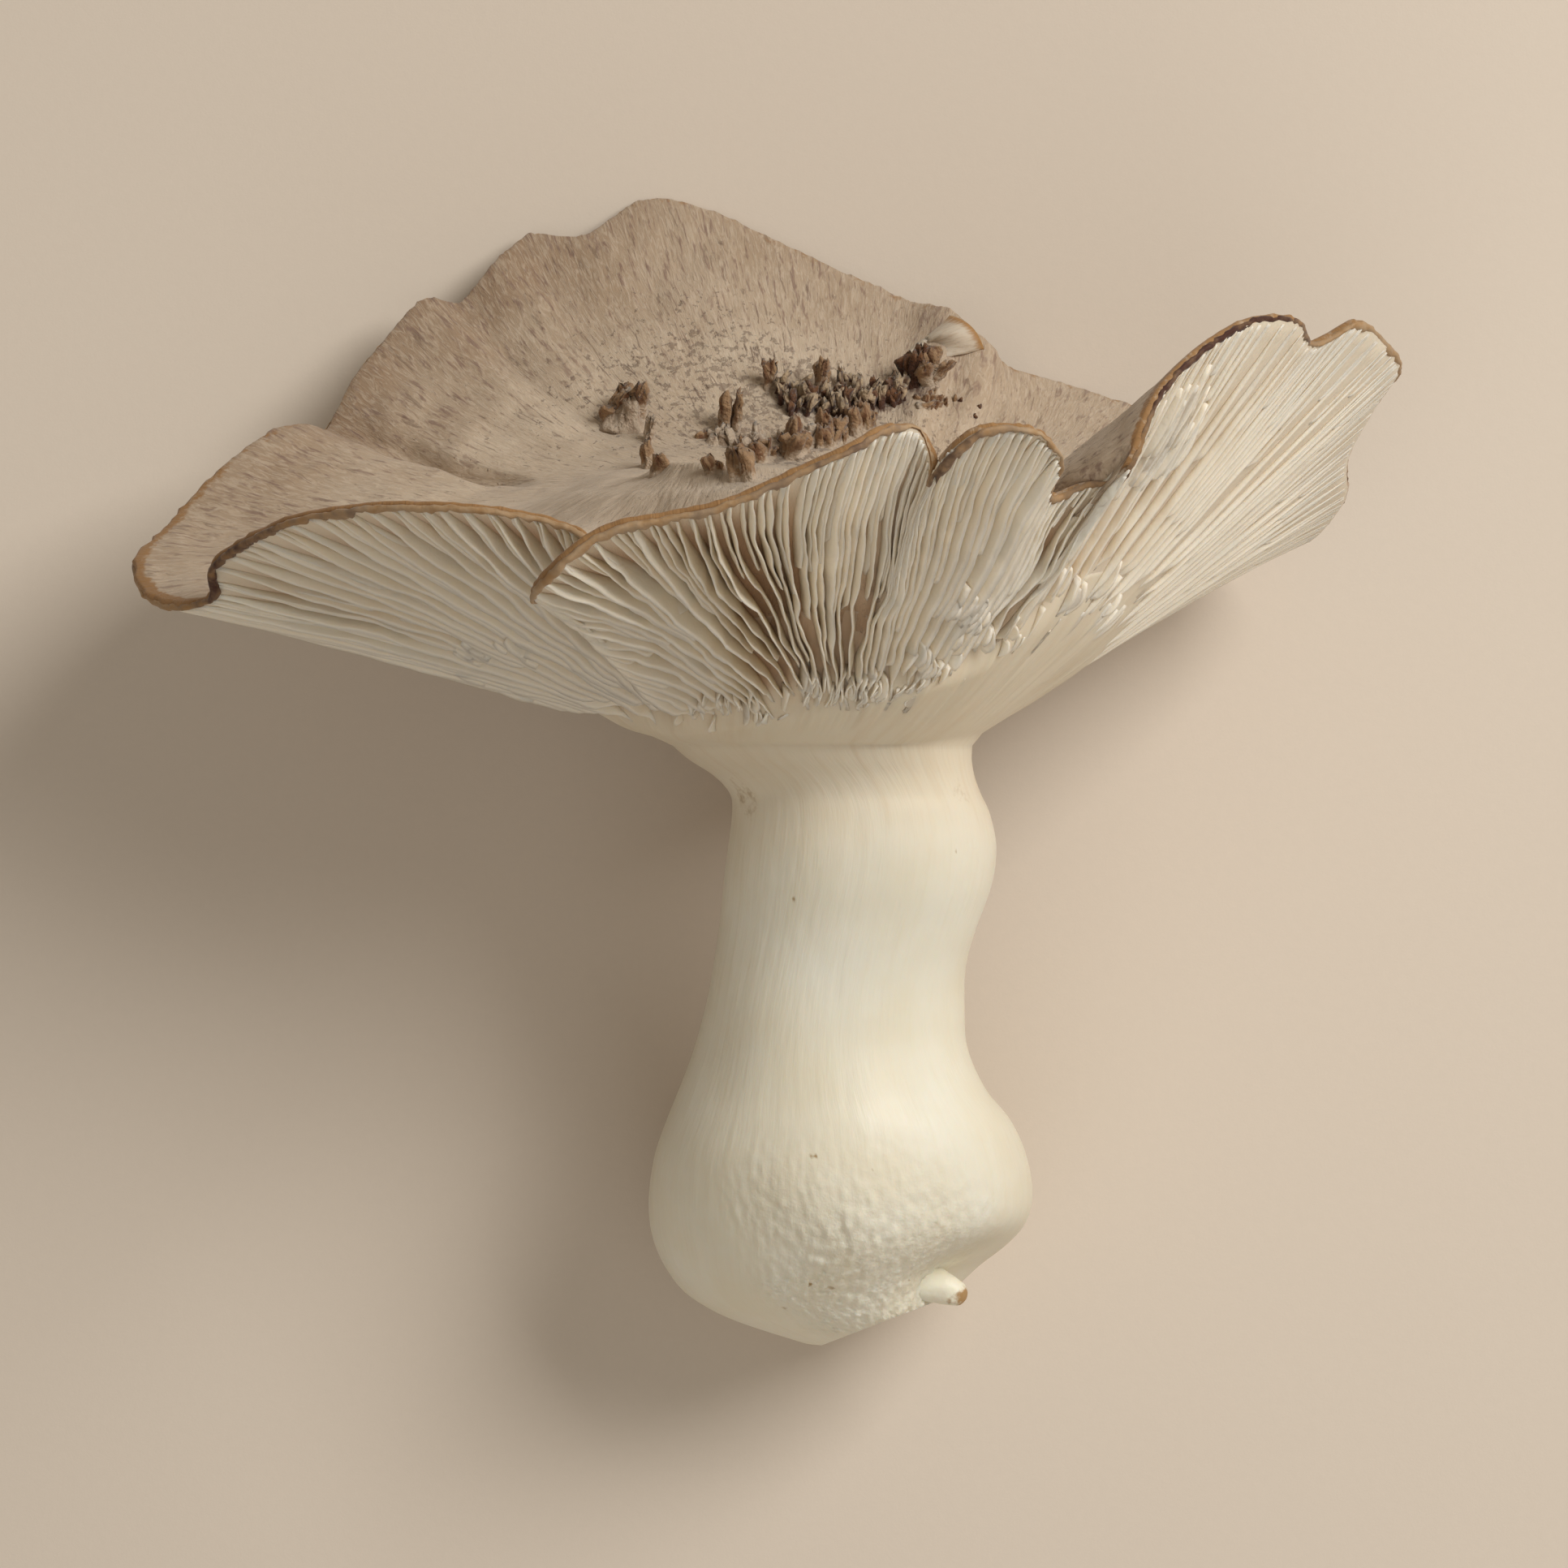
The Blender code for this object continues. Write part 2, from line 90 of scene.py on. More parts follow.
# The margin: bearing, then X, Y and Z.
marginRows = (
    (2, 56.0, 34.0, -6), (8, 58.5, 39.0, 0), (13, 60.2, 42.2, 6), (18, 57.8, 44.6, 12),
    (22, 55.0, 46.2, 17), (29, 49.0, 43.8, 21), (32, 47.6, 45.5, 26), (36, 43.0, 45.5, 31),
    (41, 37.8, 42.8, 36), (46, 33.3, 38.7, 40), (50, 31.0, 35.3, 42), (53, 29.7, 31.8, 42),
    (56, 28.0, 28.5, 41), (60, 24.0, 27.8, 38), (63, 20.7, 26.3, 38), (66, 20.5, 27.5, 43),
    (69, 21.2, 29.2, 48), (73, 19.2, 31.6, 53), (78, 15.8, 32.5, 56), (83, 11.7, 31.9, 57),
    (87, 8.6, 29.6, 55), (90, 7.2, 28.0, 52.5), (92.5, 7.0, 30.4, 52.5), (95, 6.2, 32.4, 53.5),
    (98.5, 4.6, 32.6, 55.5), (102, 3.0, 32.3, 57.5), (107, 0.0, 30.5, 60), (113, -4.8, 28.3, 60),
    (120, -13.0, 24.7, 59), (127, -19.5, 23.3, 58), (133, -26.1, 21.7, 57), (137, -30.8, 18.3, 55),
    (140, -33.4, 15.6, 50), (144, -30.6, 16.6, 43), (147, -28.6, 19.6, 38), (150, -29.0, 22.4, 35),
    (153, -32.4, 24.0, 34), (158, -42.3, 25.5, 33), (163, -53.8, 25.6, 27), (168, -63.1, 23.9, 19),
    (172, -69.8, 20.3, 11), (175, -70.3, 17.0, 8), (178, -74.0, 15.9, 5), (182, -78.3, 17.3, 0),
    (186, -80.0, 20.9, -5), (191, -77.6, 24.5, -10), (201, -70.1, 33.4, -18), (206, -65.8, 36.7, -22),
    (210, -63.1, 37.3, -25), (214, -60.8, 37.0, -29), (219, -57.3, 43.7, -33), (225, -53.8, 48.7, -37),
    (230, -50.2, 53.0, -40), (236, -45.2, 53.2, -41), (240, -41.7, 57.8, -43), (245, -38.0, 61.2, -46),
    (252, -31.4, 61.1, -45), (259, -25.0, 65.4, -48), (269, -15.9, 64.2, -48), (275, -9.1, 61.0, -47),
    (282, -2.8, 57.8, -46), (289, 3.4, 55.1, -45), (295, 8.2, 53.0, -43), (299, 12.2, 52.0, -40),
    (303, 15.6, 48.4, -38), (308, 17.6, 46.0, -42), (316, 24.6, 43.8, -46), (324, 34.1, 40.4, -44),
    (332, 41.5, 35.5, -40), (340, 48.7, 26.2, -34), (346, 53.2, 24.7, -28), (351, 55.9, 27.9, -20),
)
# How far the gill side sags towards the stem, by bearing.
sagRows = (
    (0, 2.0), (30, 3.5), (60, 4.0), (90, 3.0), (140, 2.2),
    (180, 2.4), (205, 2.8), (230, 3.2), (270, 4.0), (320, 3.0), (345, 2.0),
)


def course(table, at, closed=True):
    rows = np.array(table, float)
    keys, values = rows[:, 0], rows[:, 1:]
    if closed:
        at = np.mod(at - keys[0], fullTurn) + keys[0]
        keys = np.concatenate([keys[-2:] - fullTurn, keys, keys[:3] + fullTurn])
        values = np.concatenate([values[-2:], values, values[:3]])
    slopes = np.gradient(values, keys, axis=0)
    i = np.clip(np.searchsorted(keys, at, side="right") - 1, 0, len(keys) - 2)
    gap = (keys[i + 1] - keys[i])[:, None]
    t = (at - keys[i])[:, None] / gap
    return (
        values[i] * (1 + 2 * t) * (1 - t) ** 2
        + slopes[i] * gap * t * (1 - t) ** 2
        + values[i + 1] * t * t * (3 - 2 * t)
        - slopes[i + 1] * gap * t * t * (1 - t)
    )


def eased(value, start, end):
    t = np.clip((np.asarray(value, float) - start) / (end - start), 0, 1)
    return t * t * (3 - 2 * t)


def broadCourse():
    bearings = np.arange(0.0, fullTurn, shape["marginStep"])
    distance = np.minimum(bearings, fullTurn - bearings)
    weight = np.exp(-0.5 * (distance / shape["foldSpread"]) ** 2)
    spectrum = np.fft.rfft(course(marginRows, bearings), axis=0)
    spectrum *= np.fft.rfft(weight / weight.sum())[:, None]
    return np.column_stack([bearings, np.fft.irfft(spectrum, n=len(bearings), axis=0)])


broadMargin = broadCourse()


def neckRing(bearings):
    angle = np.radians(bearings)
    x = shape["neckCentre"][0] + shape["neckHalf"][0] * np.cos(angle)
    y = shape["neckCentre"][1] - shape["neckDroop"] * np.sin(angle)
    z = shape["neckCentre"][2] + shape["neckHalf"][1] * np.sin(angle)
    return np.column_stack([x, y, z])


def gillSheet(bearings, reaches, underSkin=False):
    start = neckRing(bearings)
    broad = course(broadMargin, bearings)
    folds = course(marginRows, bearings) - broad
    sag = course(sagRows, bearings)[:, 0]
    points = np.empty((len(reaches), len(bearings), 3))
    for row, reach in enumerate(reaches):
        folding = reach ** shape["foldPower"] * (eased(reach, *shape["skinFolds"]) if underSkin else 1)
        points[row] = start * (1 - reach) + broad * reach + folds * folding
        points[row, :, 1] -= sag * 4 * reach * (1 - reach) * (1 - 0.4 * reach)
    return points


def unit(vectors):
    return vectors / np.maximum(np.linalg.norm(vectors, axis=-1, keepdims=True), 1e-9)


def sheetFrames(bearings, reaches, underSkin=False):
    # Unit vectors out of the gill side, along the gills and round the stem.
    turnStep, reachStep = 0.4, 0.01
    lower = np.maximum(np.array(reaches) - reachStep, 0)
    upper = np.minimum(np.array(reaches) + reachStep, 1)
    along = gillSheet(bearings, upper, underSkin) - gillSheet(bearings, lower, underSkin)
    ahead, behind = bearings + turnStep, bearings - turnStep
    around = gillSheet(ahead, reaches, underSkin) - gillSheet(behind, reaches, underSkin)
    out = unit(np.cross(along, around))
    along = unit(along)
    return out, along, np.cross(out, along)


def foldRoom(bearings, reaches, underSkin=False):
    # How far the sheet can move along its normals before a tight fold meets itself.
    step = 1.5
    every = np.arange(0.0, fullTurn, 1.0)
    ahead, behind = every + step, every - step
    turning = sheetFrames(ahead, reaches, underSkin)[0] - sheetFrames(behind, reaches, underSkin)[0]
    moving = gillSheet(ahead, reaches, underSkin) - gillSheet(behind, reaches, underSkin)
    free = shape["roomShare"] * np.linalg.norm(moving, axis=2) / np.linalg.norm(turning, axis=2)
    shifts = range(-shape["roomReach"], shape["roomReach"] + 1)
    least = np.min([np.roll(free, shift, axis=1) for shift in shifts], axis=0)
    return course(np.column_stack([every, least.T]), bearings).T


def skinDepth(reaches):
    rise = np.clip(reaches / 0.25, 0, 1)
    fall = np.clip((1 - reaches) / 0.3, 0, 1)
    return shape["skinDepth"] * rise * rise * (3 - 2 * rise) * (0.08 + 0.92 * fall**0.8)


def skinSheet(bearings, reaches):
    reaches = np.asarray(reaches, float)
    points = gillSheet(bearings, reaches, True)
    thickness = skinDepth(reaches) + shape["fleshAtMargin"] * (1 + 0.6 * np.sqrt(1 - reaches))
    free = np.maximum(foldRoom(bearings, reaches, True), shape["fleshAtMargin"])
    thickness = np.minimum(thickness[:, None], free)
    points -= sheetFrames(bearings, reaches, True)[0] * thickness[:, :, None]
    points[:, :, 1] += (shape["fleshAtNeck"] * (1 - reaches) ** shape["fleshFall"])[:, None]
    return points


def spreadBearings(count):
    # Bearings that share out the turn round the stem, the margin's length and its bends.
    bearings = np.arange(0.0, fullTurn + shape["marginStep"], shape["marginStep"])
    steps = np.diff(course(marginRows, bearings), axis=0)
    lengths = np.linalg.norm(steps, axis=1)
    ways = steps / lengths[:, None]
    bends = np.linalg.norm(np.roll(ways, -4, axis=0) - np.roll(ways, 4, axis=0), axis=1)
    share = sum(
        weight * measure / measure.sum()
        for weight, measure in zip(shape["bearingWeights"], (np.ones(len(steps)), lengths, bends))
    )
    return np.interp(np.arange(count) / count, np.concatenate([[0], np.cumsum(share)]), bearings)


def laid(points):
    # Own frame in millimetres to the resting pose in metres, nothing below the ground.
    placed = (np.asarray(points) @ restTurn3.T + restShift) * mm
    placed[..., 2] = np.maximum(placed[..., 2], 0.0)
    return placed


def turned(vectors):
    return (np.asarray(vectors) @ restTurn3.T) * mm


def noiseAt(points, scale, offset=0.0):
    flat = np.asarray(points).reshape(-1, 3) * scale + offset
    values = [noise.noise(tuple(point)) for point in flat]
    return np.array(values).reshape(np.asarray(points).shape[:-1])


def ridgesAt(points, scale, offset=0.0):
    return 1 - 2 * np.abs(noiseAt(points, scale, offset))


scene = bpy.context.scene


def link(thing):
    scene.collection.objects.link(thing)
    return thing


def setAttribute(mesh, name, values):
    values = np.asarray(values, np.float32)
    kind = "FLOAT_VECTOR" if values.ndim == 2 else "FLOAT"
    field = mesh.attributes.new(name, kind, "POINT")
    field.data.foreach_set("vector" if kind == "FLOAT_VECTOR" else "value", values.ravel())


def newMesh(name, vertices, faces=(), material=None, attributes=None):
    mesh = bpy.data.meshes.new(name)
    mesh.from_pydata([tuple(v) for v in vertices], [], faces)
    for key, values in (attributes or {}).items():
        setAttribute(mesh, key, values)
    if material:
        mesh.materials.append(material)
    mesh.shade_smooth()
    mesh.update()
    return link(bpy.data.objects.new(name, mesh))


def ringFaces(rows, columns, wrap=True):
    # Faces between rows of vertices, each row closed to a ring if wrap is set.
    last = columns if wrap else columns - 1
    across = np.arange(last)
    following = (across + 1) % columns
    faces = []
    for row in range(rows - 1):
        low, high = row * columns, (row + 1) * columns
        faces.append(np.column_stack([low + across, high + across, high + following, low + following]))
    return np.concatenate(faces).tolist()


def closedRings(rings, firstPole, lastPole):
    rows, columns = len(rings), len(rings[0])
    vertices = np.concatenate([*rings, [firstPole, lastPole]])
    faces = ringFaces(rows, columns)
    first, last = rows * columns, rows * columns + 1
    top = (rows - 1) * columns
    for i in range(columns):
        j = (i + 1) % columns
        faces.append([first, i, j])
        faces.append([last, top + j, top + i])
    return vertices, faces


def finishPiece(piece):
    # Slivers of no area are merged away and every face is turned outwards before the piece is attached to its
    # body.
    bm = bmesh.new()
    bm.from_mesh(piece.data)
    bmesh.ops.remove_doubles(bm, verts=bm.verts, dist=1e-7)
    bmesh.ops.recalc_face_normals(bm, faces=bm.faces)
    bm.to_mesh(piece.data)
    bm.free()
    piece.data.shade_smooth()
    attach(piece, bodyName)
    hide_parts(nodeName)
    print("piece", piece.name, "with", len(piece.data.polygons), "faces")
    return piece


def newTree(name, kind, inputs, outputs):
    tree = bpy.data.node_groups.new(name, kind)
    for label, socket, value in inputs:
        item = tree.interface.new_socket(name=label, in_out="INPUT", socket_type=socket)
        if value is not None:
            item.default_value = value
    for label, socket in outputs:
        tree.interface.new_socket(name=label, in_out="OUTPUT", socket_type=socket)
    return tree, tree.nodes.new("NodeGroupInput").outputs, tree.nodes.new("NodeGroupOutput").inputs


def feed(tree, node, inputs):
    for key, value in inputs.items():
        if isinstance(value, bpy.types.NodeSocket):
            tree.links.new(value, node.inputs[key])
        else:
            node.inputs[key].default_value = value


def put(tree, kind, inputs=None, **settings):
    node = tree.nodes.new(kind)
    for key, value in settings.items():
        setattr(node, key, value)
    feed(tree, node, inputs or {})
    return node


def calc(tree, operation, *values, clamp=False):
    node = put(tree, "ShaderNodeMath", dict(enumerate(values)), operation=operation, use_clamp=clamp)
    return node.outputs[0]


def times(tree, first, second, clamp=False):
    return calc(tree, "MULTIPLY", first, second, clamp=clamp)


def timesPlus(tree, first, second, third):
    return calc(tree, "MULTIPLY_ADD", first, second, third)


def plus(tree, first, second):
    return calc(tree, "ADD", first, second)


def minus(tree, first, second):
    return calc(tree, "SUBTRACT", first, second)


def power(tree, base, exponent):
    return calc(tree, "POWER", base, exponent)


def aim(tree, operation, *values):
    node = put(tree, "ShaderNodeVectorMath", dict(enumerate(values)), operation=operation)
    return node.outputs[0]


def joined(tree, first, second):
    return aim(tree, "ADD", first, second)


def stretch(tree, vector, factor):
    return put(tree, "ShaderNodeVectorMath", {0: vector, "Scale": factor}, operation="SCALE").outputs[0]


def ramp(tree, value, low, high, toLow=0.0, toHigh=1.0, smooth=True):
    kind = "SMOOTHSTEP" if smooth else "LINEAR"
    sockets = {0: value, 1: low, 2: high, 3: toLow, 4: toHigh}
    return put(tree, "ShaderNodeMapRange", sockets, interpolation_type=kind).outputs[0]


def named(tree, name, kind="FLOAT"):
    return put(tree, "GeometryNodeInputNamedAttribute", {"Name": name}, data_type=kind).outputs["Attribute"]


def stored(tree, geometry, name, value, kind="FLOAT_VECTOR"):
    sockets = {"Geometry": geometry, "Name": name, "Value": value}
    return put(tree, "GeometryNodeStoreNamedAttribute", sockets, data_type=kind, domain="POINT").outputs[0]


def newGrowth(name, inputs):
    # A geometry tree that takes guide points, some values and a material.
    inputs = [("Geometry", "NodeSocketGeometry", None), *inputs, ("Material", "NodeSocketMaterial", None)]
    return newTree(name, "GeometryNodeTree", inputs, [("Geometry", "NodeSocketGeometry")])


def spreadCopies(tree, given, form):
    # One real copy of a form on each guide point, and where each vertex sits in the form.
    spotted = stored(tree, form, "spot", put(tree, "GeometryNodeInputPosition").outputs[0])
    sockets = {"Points": given["Geometry"], "Instance": spotted}
    copies = put(tree, "GeometryNodeInstanceOnPoints", sockets).outputs[0]
    real = put(tree, "GeometryNodeRealizeInstances", {0: copies}).outputs[0]
    return real, put(tree, "ShaderNodeSeparateXYZ", {0: named(tree, "spot", "FLOAT_VECTOR")}).outputs


def handOut(tree, given, out, geometry):
    real = put(tree, "GeometryNodeRealizeInstances", {0: geometry}).outputs[0]
    sockets = {"Geometry": real, "Material": given["Material"]}
    tree.links.new(put(tree, "GeometryNodeSetMaterial", sockets).outputs[0], out[0])
    return tree


def grow(name, guides, tree, values):
    # Runs a tree on its guide points and leaves a plain mesh that keeps only the tone attribute.
    modifier = guides.modifiers.new(name, "NODES")
    modifier.node_group = tree
    for item in tree.interface.items_tree:
        if item.in_out == "INPUT" and item.name in values:
            modifier[item.identifier] = values[item.name]
    bpy.context.view_layer.update()
    depsgraph = bpy.context.evaluated_depsgraph_get()
    grown = guides.evaluated_get(depsgraph)
    mesh = bpy.data.meshes.new_from_object(grown, preserve_all_data_layers=True, depsgraph=depsgraph)
    guides.modifiers.clear()
    bpy.data.objects.remove(guides)
    mesh.name = name
    spare = [a.name for a in mesh.attributes if a.name != "tone" and not a.is_required and not a.is_internal]
    for field in spare:
        mesh.attributes.remove(mesh.attributes[field])
    mesh.materials.clear()
    mesh.materials.append(values["Material"])
    return link(bpy.data.objects.new(name, mesh))


cameraData = bpy.data.cameras.new("camera")
cameraData.lens = view["lens"]
cameraData.sensor_width = view["sensor"]
cameraData.clip_start = 0.01
camera = link(bpy.data.objects.new("camera", cameraData))
toRest = Matrix.Translation(Vector(rest["shift"]) * mm) @ restTurn
camera.matrix_world = toRest @ Matrix.Translation(Vector(view["eye"]) * mm)
scene.camera = camera
print("camera placed")


def sightLine(px, py):
    # The line of sight through a pixel of the photograph, in metres.
    size = view["frameSize"]
    across = view["sensor"] / view["lens"] / size
    way = Vector(((px - size / 2) * across, (size / 2 - py) * across, -1))
    eye = camera.matrix_world.translation
    return eye, (camera.matrix_world.to_3x3() @ way).normalized()


def makeMottle():
    # Soft blotches of two sizes.
    inputs = [("Scale", "NodeSocketFloat", 60.0), ("Detail", "NodeSocketFloat", 3.0)]
    tree, given, out = newTree("mottle", "ShaderNodeTree", inputs, [("Value", "NodeSocketFloat")])
    where = put(tree, "ShaderNodeTexCoord").outputs["Object"]
    big = put(tree, "ShaderNodeTexNoise", {"Vector": where, "Scale": given["Scale"], "Detail": given["Detail"]})
    finer = times(tree, given["Scale"], 3.7)
    small = put(tree, "ShaderNodeTexNoise", {"Vector": where, "Scale": finer, "Detail": given["Detail"]})
    both = timesPlus(tree, small.outputs[0], 0.4, times(tree, big.outputs[0], 0.6))
    tree.links.new(ramp(tree, both, 0.3, 0.7), out[0])
    return tree


def makeFibres():
    # Fine fibres that run along the flow attribute, straight or matted.
    inputs = [
        ("Scale", "NodeSocketFloat", 1.0), ("Low", "NodeSocketFloat", 0.5), ("High", "NodeSocketFloat", 0.7),
        ("Matting", "NodeSocketFloat", 0.0),
    ]
    outputs = [("Mask", "NodeSocketFloat"), ("Height", "NodeSocketFloat")]
    tree, given, out = newTree("fibres", "ShaderNodeTree", inputs, outputs)
    flow = put(tree, "ShaderNodeAttribute", attribute_name="flow").outputs["Vector"]
    sockets = {
        "Vector": flow, "Scale": given["Scale"], "Detail": 4.0, "Roughness": 0.6, "Distortion": given["Matting"],
    }
    level = put(tree, "ShaderNodeTexNoise", sockets).outputs[0]
    tree.links.new(ramp(tree, level, given["Low"], given["High"]), out["Mask"])
    tree.links.new(level, out["Height"])
    return tree


def makeSpecks():
    # Small separate flecks, more of them where the amount is high.
    inputs = [("Scale", "NodeSocketFloat", 500.0), ("Amount", "NodeSocketFloat", 0.5)]
    tree, given, out = newTree("specks", "ShaderNodeTree", inputs, [("Mask", "NodeSocketFloat")])
    where = put(tree, "ShaderNodeTexCoord").outputs["Object"]
    sockets = {"Vector": where, "Scale": given["Scale"], "Detail": 2.5, "Roughness": 0.65}
    grains = put(tree, "ShaderNodeTexNoise", sockets)
    edge = timesPlus(tree, given["Amount"], -0.22, 0.76)
    above = minus(tree, grains.outputs[0], edge)
    tree.links.new(times(tree, above, 14.0, clamp=True), out[0])
    return tree


mottleGroup = makeMottle()
fibreGroup = makeFibres()
speckGroup = makeSpecks()


def grouped(tree, group, **values):
    return put(tree, "ShaderNodeGroup", values, node_tree=group).outputs


def blend(tree, mask, first, second):
    # The colours are sockets or plain red, green and blue.
    first, second = ((*colour, 1) if isinstance(colour, tuple) else colour for colour in (first, second))
    return put(tree, "ShaderNodeMix", {0: mask, 6: first, 7: second}, data_type="RGBA").outputs[2]


def attributeOf(tree, name, output="Fac"):
    return put(tree, "ShaderNodeAttribute", attribute_name=name).outputs[output]


def newMaterial(name, subsurface=0.0, sheen=0.0, specular=0.4):
    material = bpy.data.materials.new(name)
    material.use_nodes = True
    tree = material.node_tree
    shader = tree.nodes["Principled BSDF"]
    shader.inputs["Subsurface Weight"].default_value = subsurface
    shader.inputs["Subsurface Radius"].default_value = (1.0, 0.65, 0.4)
    shader.inputs["Subsurface Scale"].default_value = 0.0025
    shader.inputs["Sheen Weight"].default_value = sheen
    shader.inputs["Specular IOR Level"].default_value = specular
    return material, tree, shader


def finishShader(tree, shader, colour, rough, height, strength, distance):
    tree.links.new(colour, shader.inputs["Base Color"])
    tree.links.new(rough, shader.inputs["Roughness"])
    bump = put(tree, "ShaderNodeBump", {"Height": height, "Strength": strength, "Distance": distance})
    tree.links.new(bump.outputs[0], shader.inputs["Normal"])


# The cap: its flesh on the gill side, its rim and its skin.
cap = {
    "columns": 620,
    "fleshRows": 20,
    "skinRows": 100,
    "crownRows": 4,
    "innerPole": (-2.0, 20.0, -4.0),
    "fleshFrom": 0.40,
    "rimBulge": 0.5,
    "undulation": 0.35,
    "fibreRelief": 0.09,
    "paleSkin": (0.60, 0.48, 0.35),
    "midSkin": (0.42, 0.31, 0.205),
    "woolSkin": (0.72, 0.60, 0.46),
    "brownSkin": (0.265, 0.155, 0.08),
    "mauveSkin": (0.235, 0.145, 0.105),
    "fleckColour": (0.115, 0.066, 0.042),
    "stainAndShadeColour": (0.075, 0.03, 0.017),
    "rimColour": (0.33, 0.175, 0.065),
    "deepFleshShade": (0.47, 0.29, 0.16),
    "shallowFlesh": (0.78, 0.67, 0.51),
    "subsurface": 0.12,
    # Bearing, then how strong the streaks, the flecks and the browning towards the margin are, and how ochre
    # the rim.
    "surface": (
        (5, 0.8, 0.3, 0.3, 0.6), (40, 1.0, 0.5, 0.15, 0.7),
        (65, 0.9, 0.5, 0.1, 0.6), (110, 0.5, 0.6, 0.1, 0.8),
        (150, 0.5, 0.35, 0.1, 0.8), (175, 0.7, 0.2, 0.3, 1.0),
        (195, 0.9, 0.2, 0.5, 0.6), (215, 1.0, 0.35, 0.8, 0.2),
        (240, 1.0, 0.7, 0.75, 0.15), (265, 1.0, 1.0, 0.5, 0.2),
        (290, 0.9, 0.9, 0.4, 0.25), (315, 0.8, 0.5, 0.3, 0.3),
        (340, 0.8, 0.3, 0.4, 0.5),
    ),
    # Painted shade on the dark ground between and beside the scales, and a few stain spots: pixel of the
    # photograph, radius in mm and strength.
    "stainsAndShade": (
        (968, 490, 1.5, 0.6), (988, 500, 1.9, 0.8),
        (1012, 501, 2.0, 0.8), (1036, 502, 2.0, 0.8), (1060, 500, 2.0, 0.8),
        (1085, 497, 2.0, 0.8), (1108, 491, 1.9, 0.8),
        (1130, 478, 1.9, 0.8), (1142, 458, 1.6, 0.7), (1150, 488, 2.4, 0.5),
        (905, 540, 1.8, 0.5), (930, 556, 2.0, 0.55),
        (975, 556, 2.2, 0.6), (1010, 548, 2.4, 0.5), (806, 580, 1.1, 0.4),
        (888, 300, 0.8, 0.55), (886, 318, 0.7, 0.6),
        (740, 437, 0.5, 0.5), (752, 445, 0.5, 0.5), (770, 528, 1.6, 0.3),
    ),
}


def capMaterial():
    material, tree, shader = newMaterial("capSkin", cap["subsurface"], 0.15, 0.3)
    blotch = grouped(tree, mottleGroup, Scale=45.0, Detail=4.0)[0]
    colour = blend(tree, times(tree, blotch, 0.6), cap["paleSkin"], cap["midSkin"])
    colour = blend(tree, attributeOf(tree, "browned"), colour, cap["brownSkin"])
    streaks = attributeOf(tree, "streaks")
    wool = grouped(tree, fibreGroup, Scale=3.0, Low=0.42, High=0.66, Matting=1.6)
    colour = blend(tree, times(tree, wool["Mask"], 0.35), colour, cap["woolSkin"])
    broad = grouped(tree, fibreGroup, Scale=0.85, Low=0.5, High=0.74)["Mask"]
    colour = blend(tree, times(tree, broad, times(tree, streaks, 0.35)), colour, cap["midSkin"])
    strands = grouped(tree, fibreGroup, Scale=2.6, Low=0.52, High=0.68, Matting=0.4)
    veil = times(tree, strands["Mask"], times(tree, streaks, 0.8), clamp=True)
    colour = blend(tree, veil, colour, cap["mauveSkin"])
    flecks = attributeOf(tree, "flecks")
    specks = grouped(tree, speckGroup, Scale=1150.0, Amount=times(tree, flecks, 1.15))[0]
    colour = blend(tree, times(tree, specks, 0.5), colour, cap["fleckColour"])
    dashes = grouped(tree, fibreGroup, Scale=1.7, Low=0.60, High=0.67, Matting=1.0)["Mask"]
    dashing = timesPlus(tree, flecks, 0.35, 0.35)
    colour = blend(tree, times(tree, dashes, dashing), colour, cap["fleckColour"])
    # Stain spots, and painted shade between the scales, darken the skin here.
    stainAndShadeMask = timesPlus(tree, strands["Height"], 1.8, minus(tree, attributeOf(tree, "stainAndShade"), 0.9))
    colour = blend(tree, ramp(tree, stainAndShadeMask, 0.3, 0.9, 0.0, 0.9), colour, cap["stainAndShadeColour"])
    frayed = timesPlus(tree, grouped(tree, mottleGroup, Scale=500.0)[0], 0.5, attributeOf(tree, "rim"))
    colour = blend(tree, ramp(tree, frayed, 0.6, 0.95), colour, cap["rimColour"])
    # Painted shade: the flesh between the gills is darkened where the gills stand deep.
    depth = ramp(tree, attributeOf(tree, "deep"), 0.05, 0.6)
    under = blend(tree, depth, cap["shallowFlesh"], cap["deepFleshShade"])
    colour = blend(tree, attributeOf(tree, "side"), colour, under)
    height = timesPlus(tree, strands["Height"], 0.7, timesPlus(tree, wool["Height"], 0.8, specks))
    rough = ramp(tree, blotch, 0.0, 1.0, 0.62, 0.82)
    finishShader(tree, shader, colour, rough, height, 0.5, 0.0004)
    return material


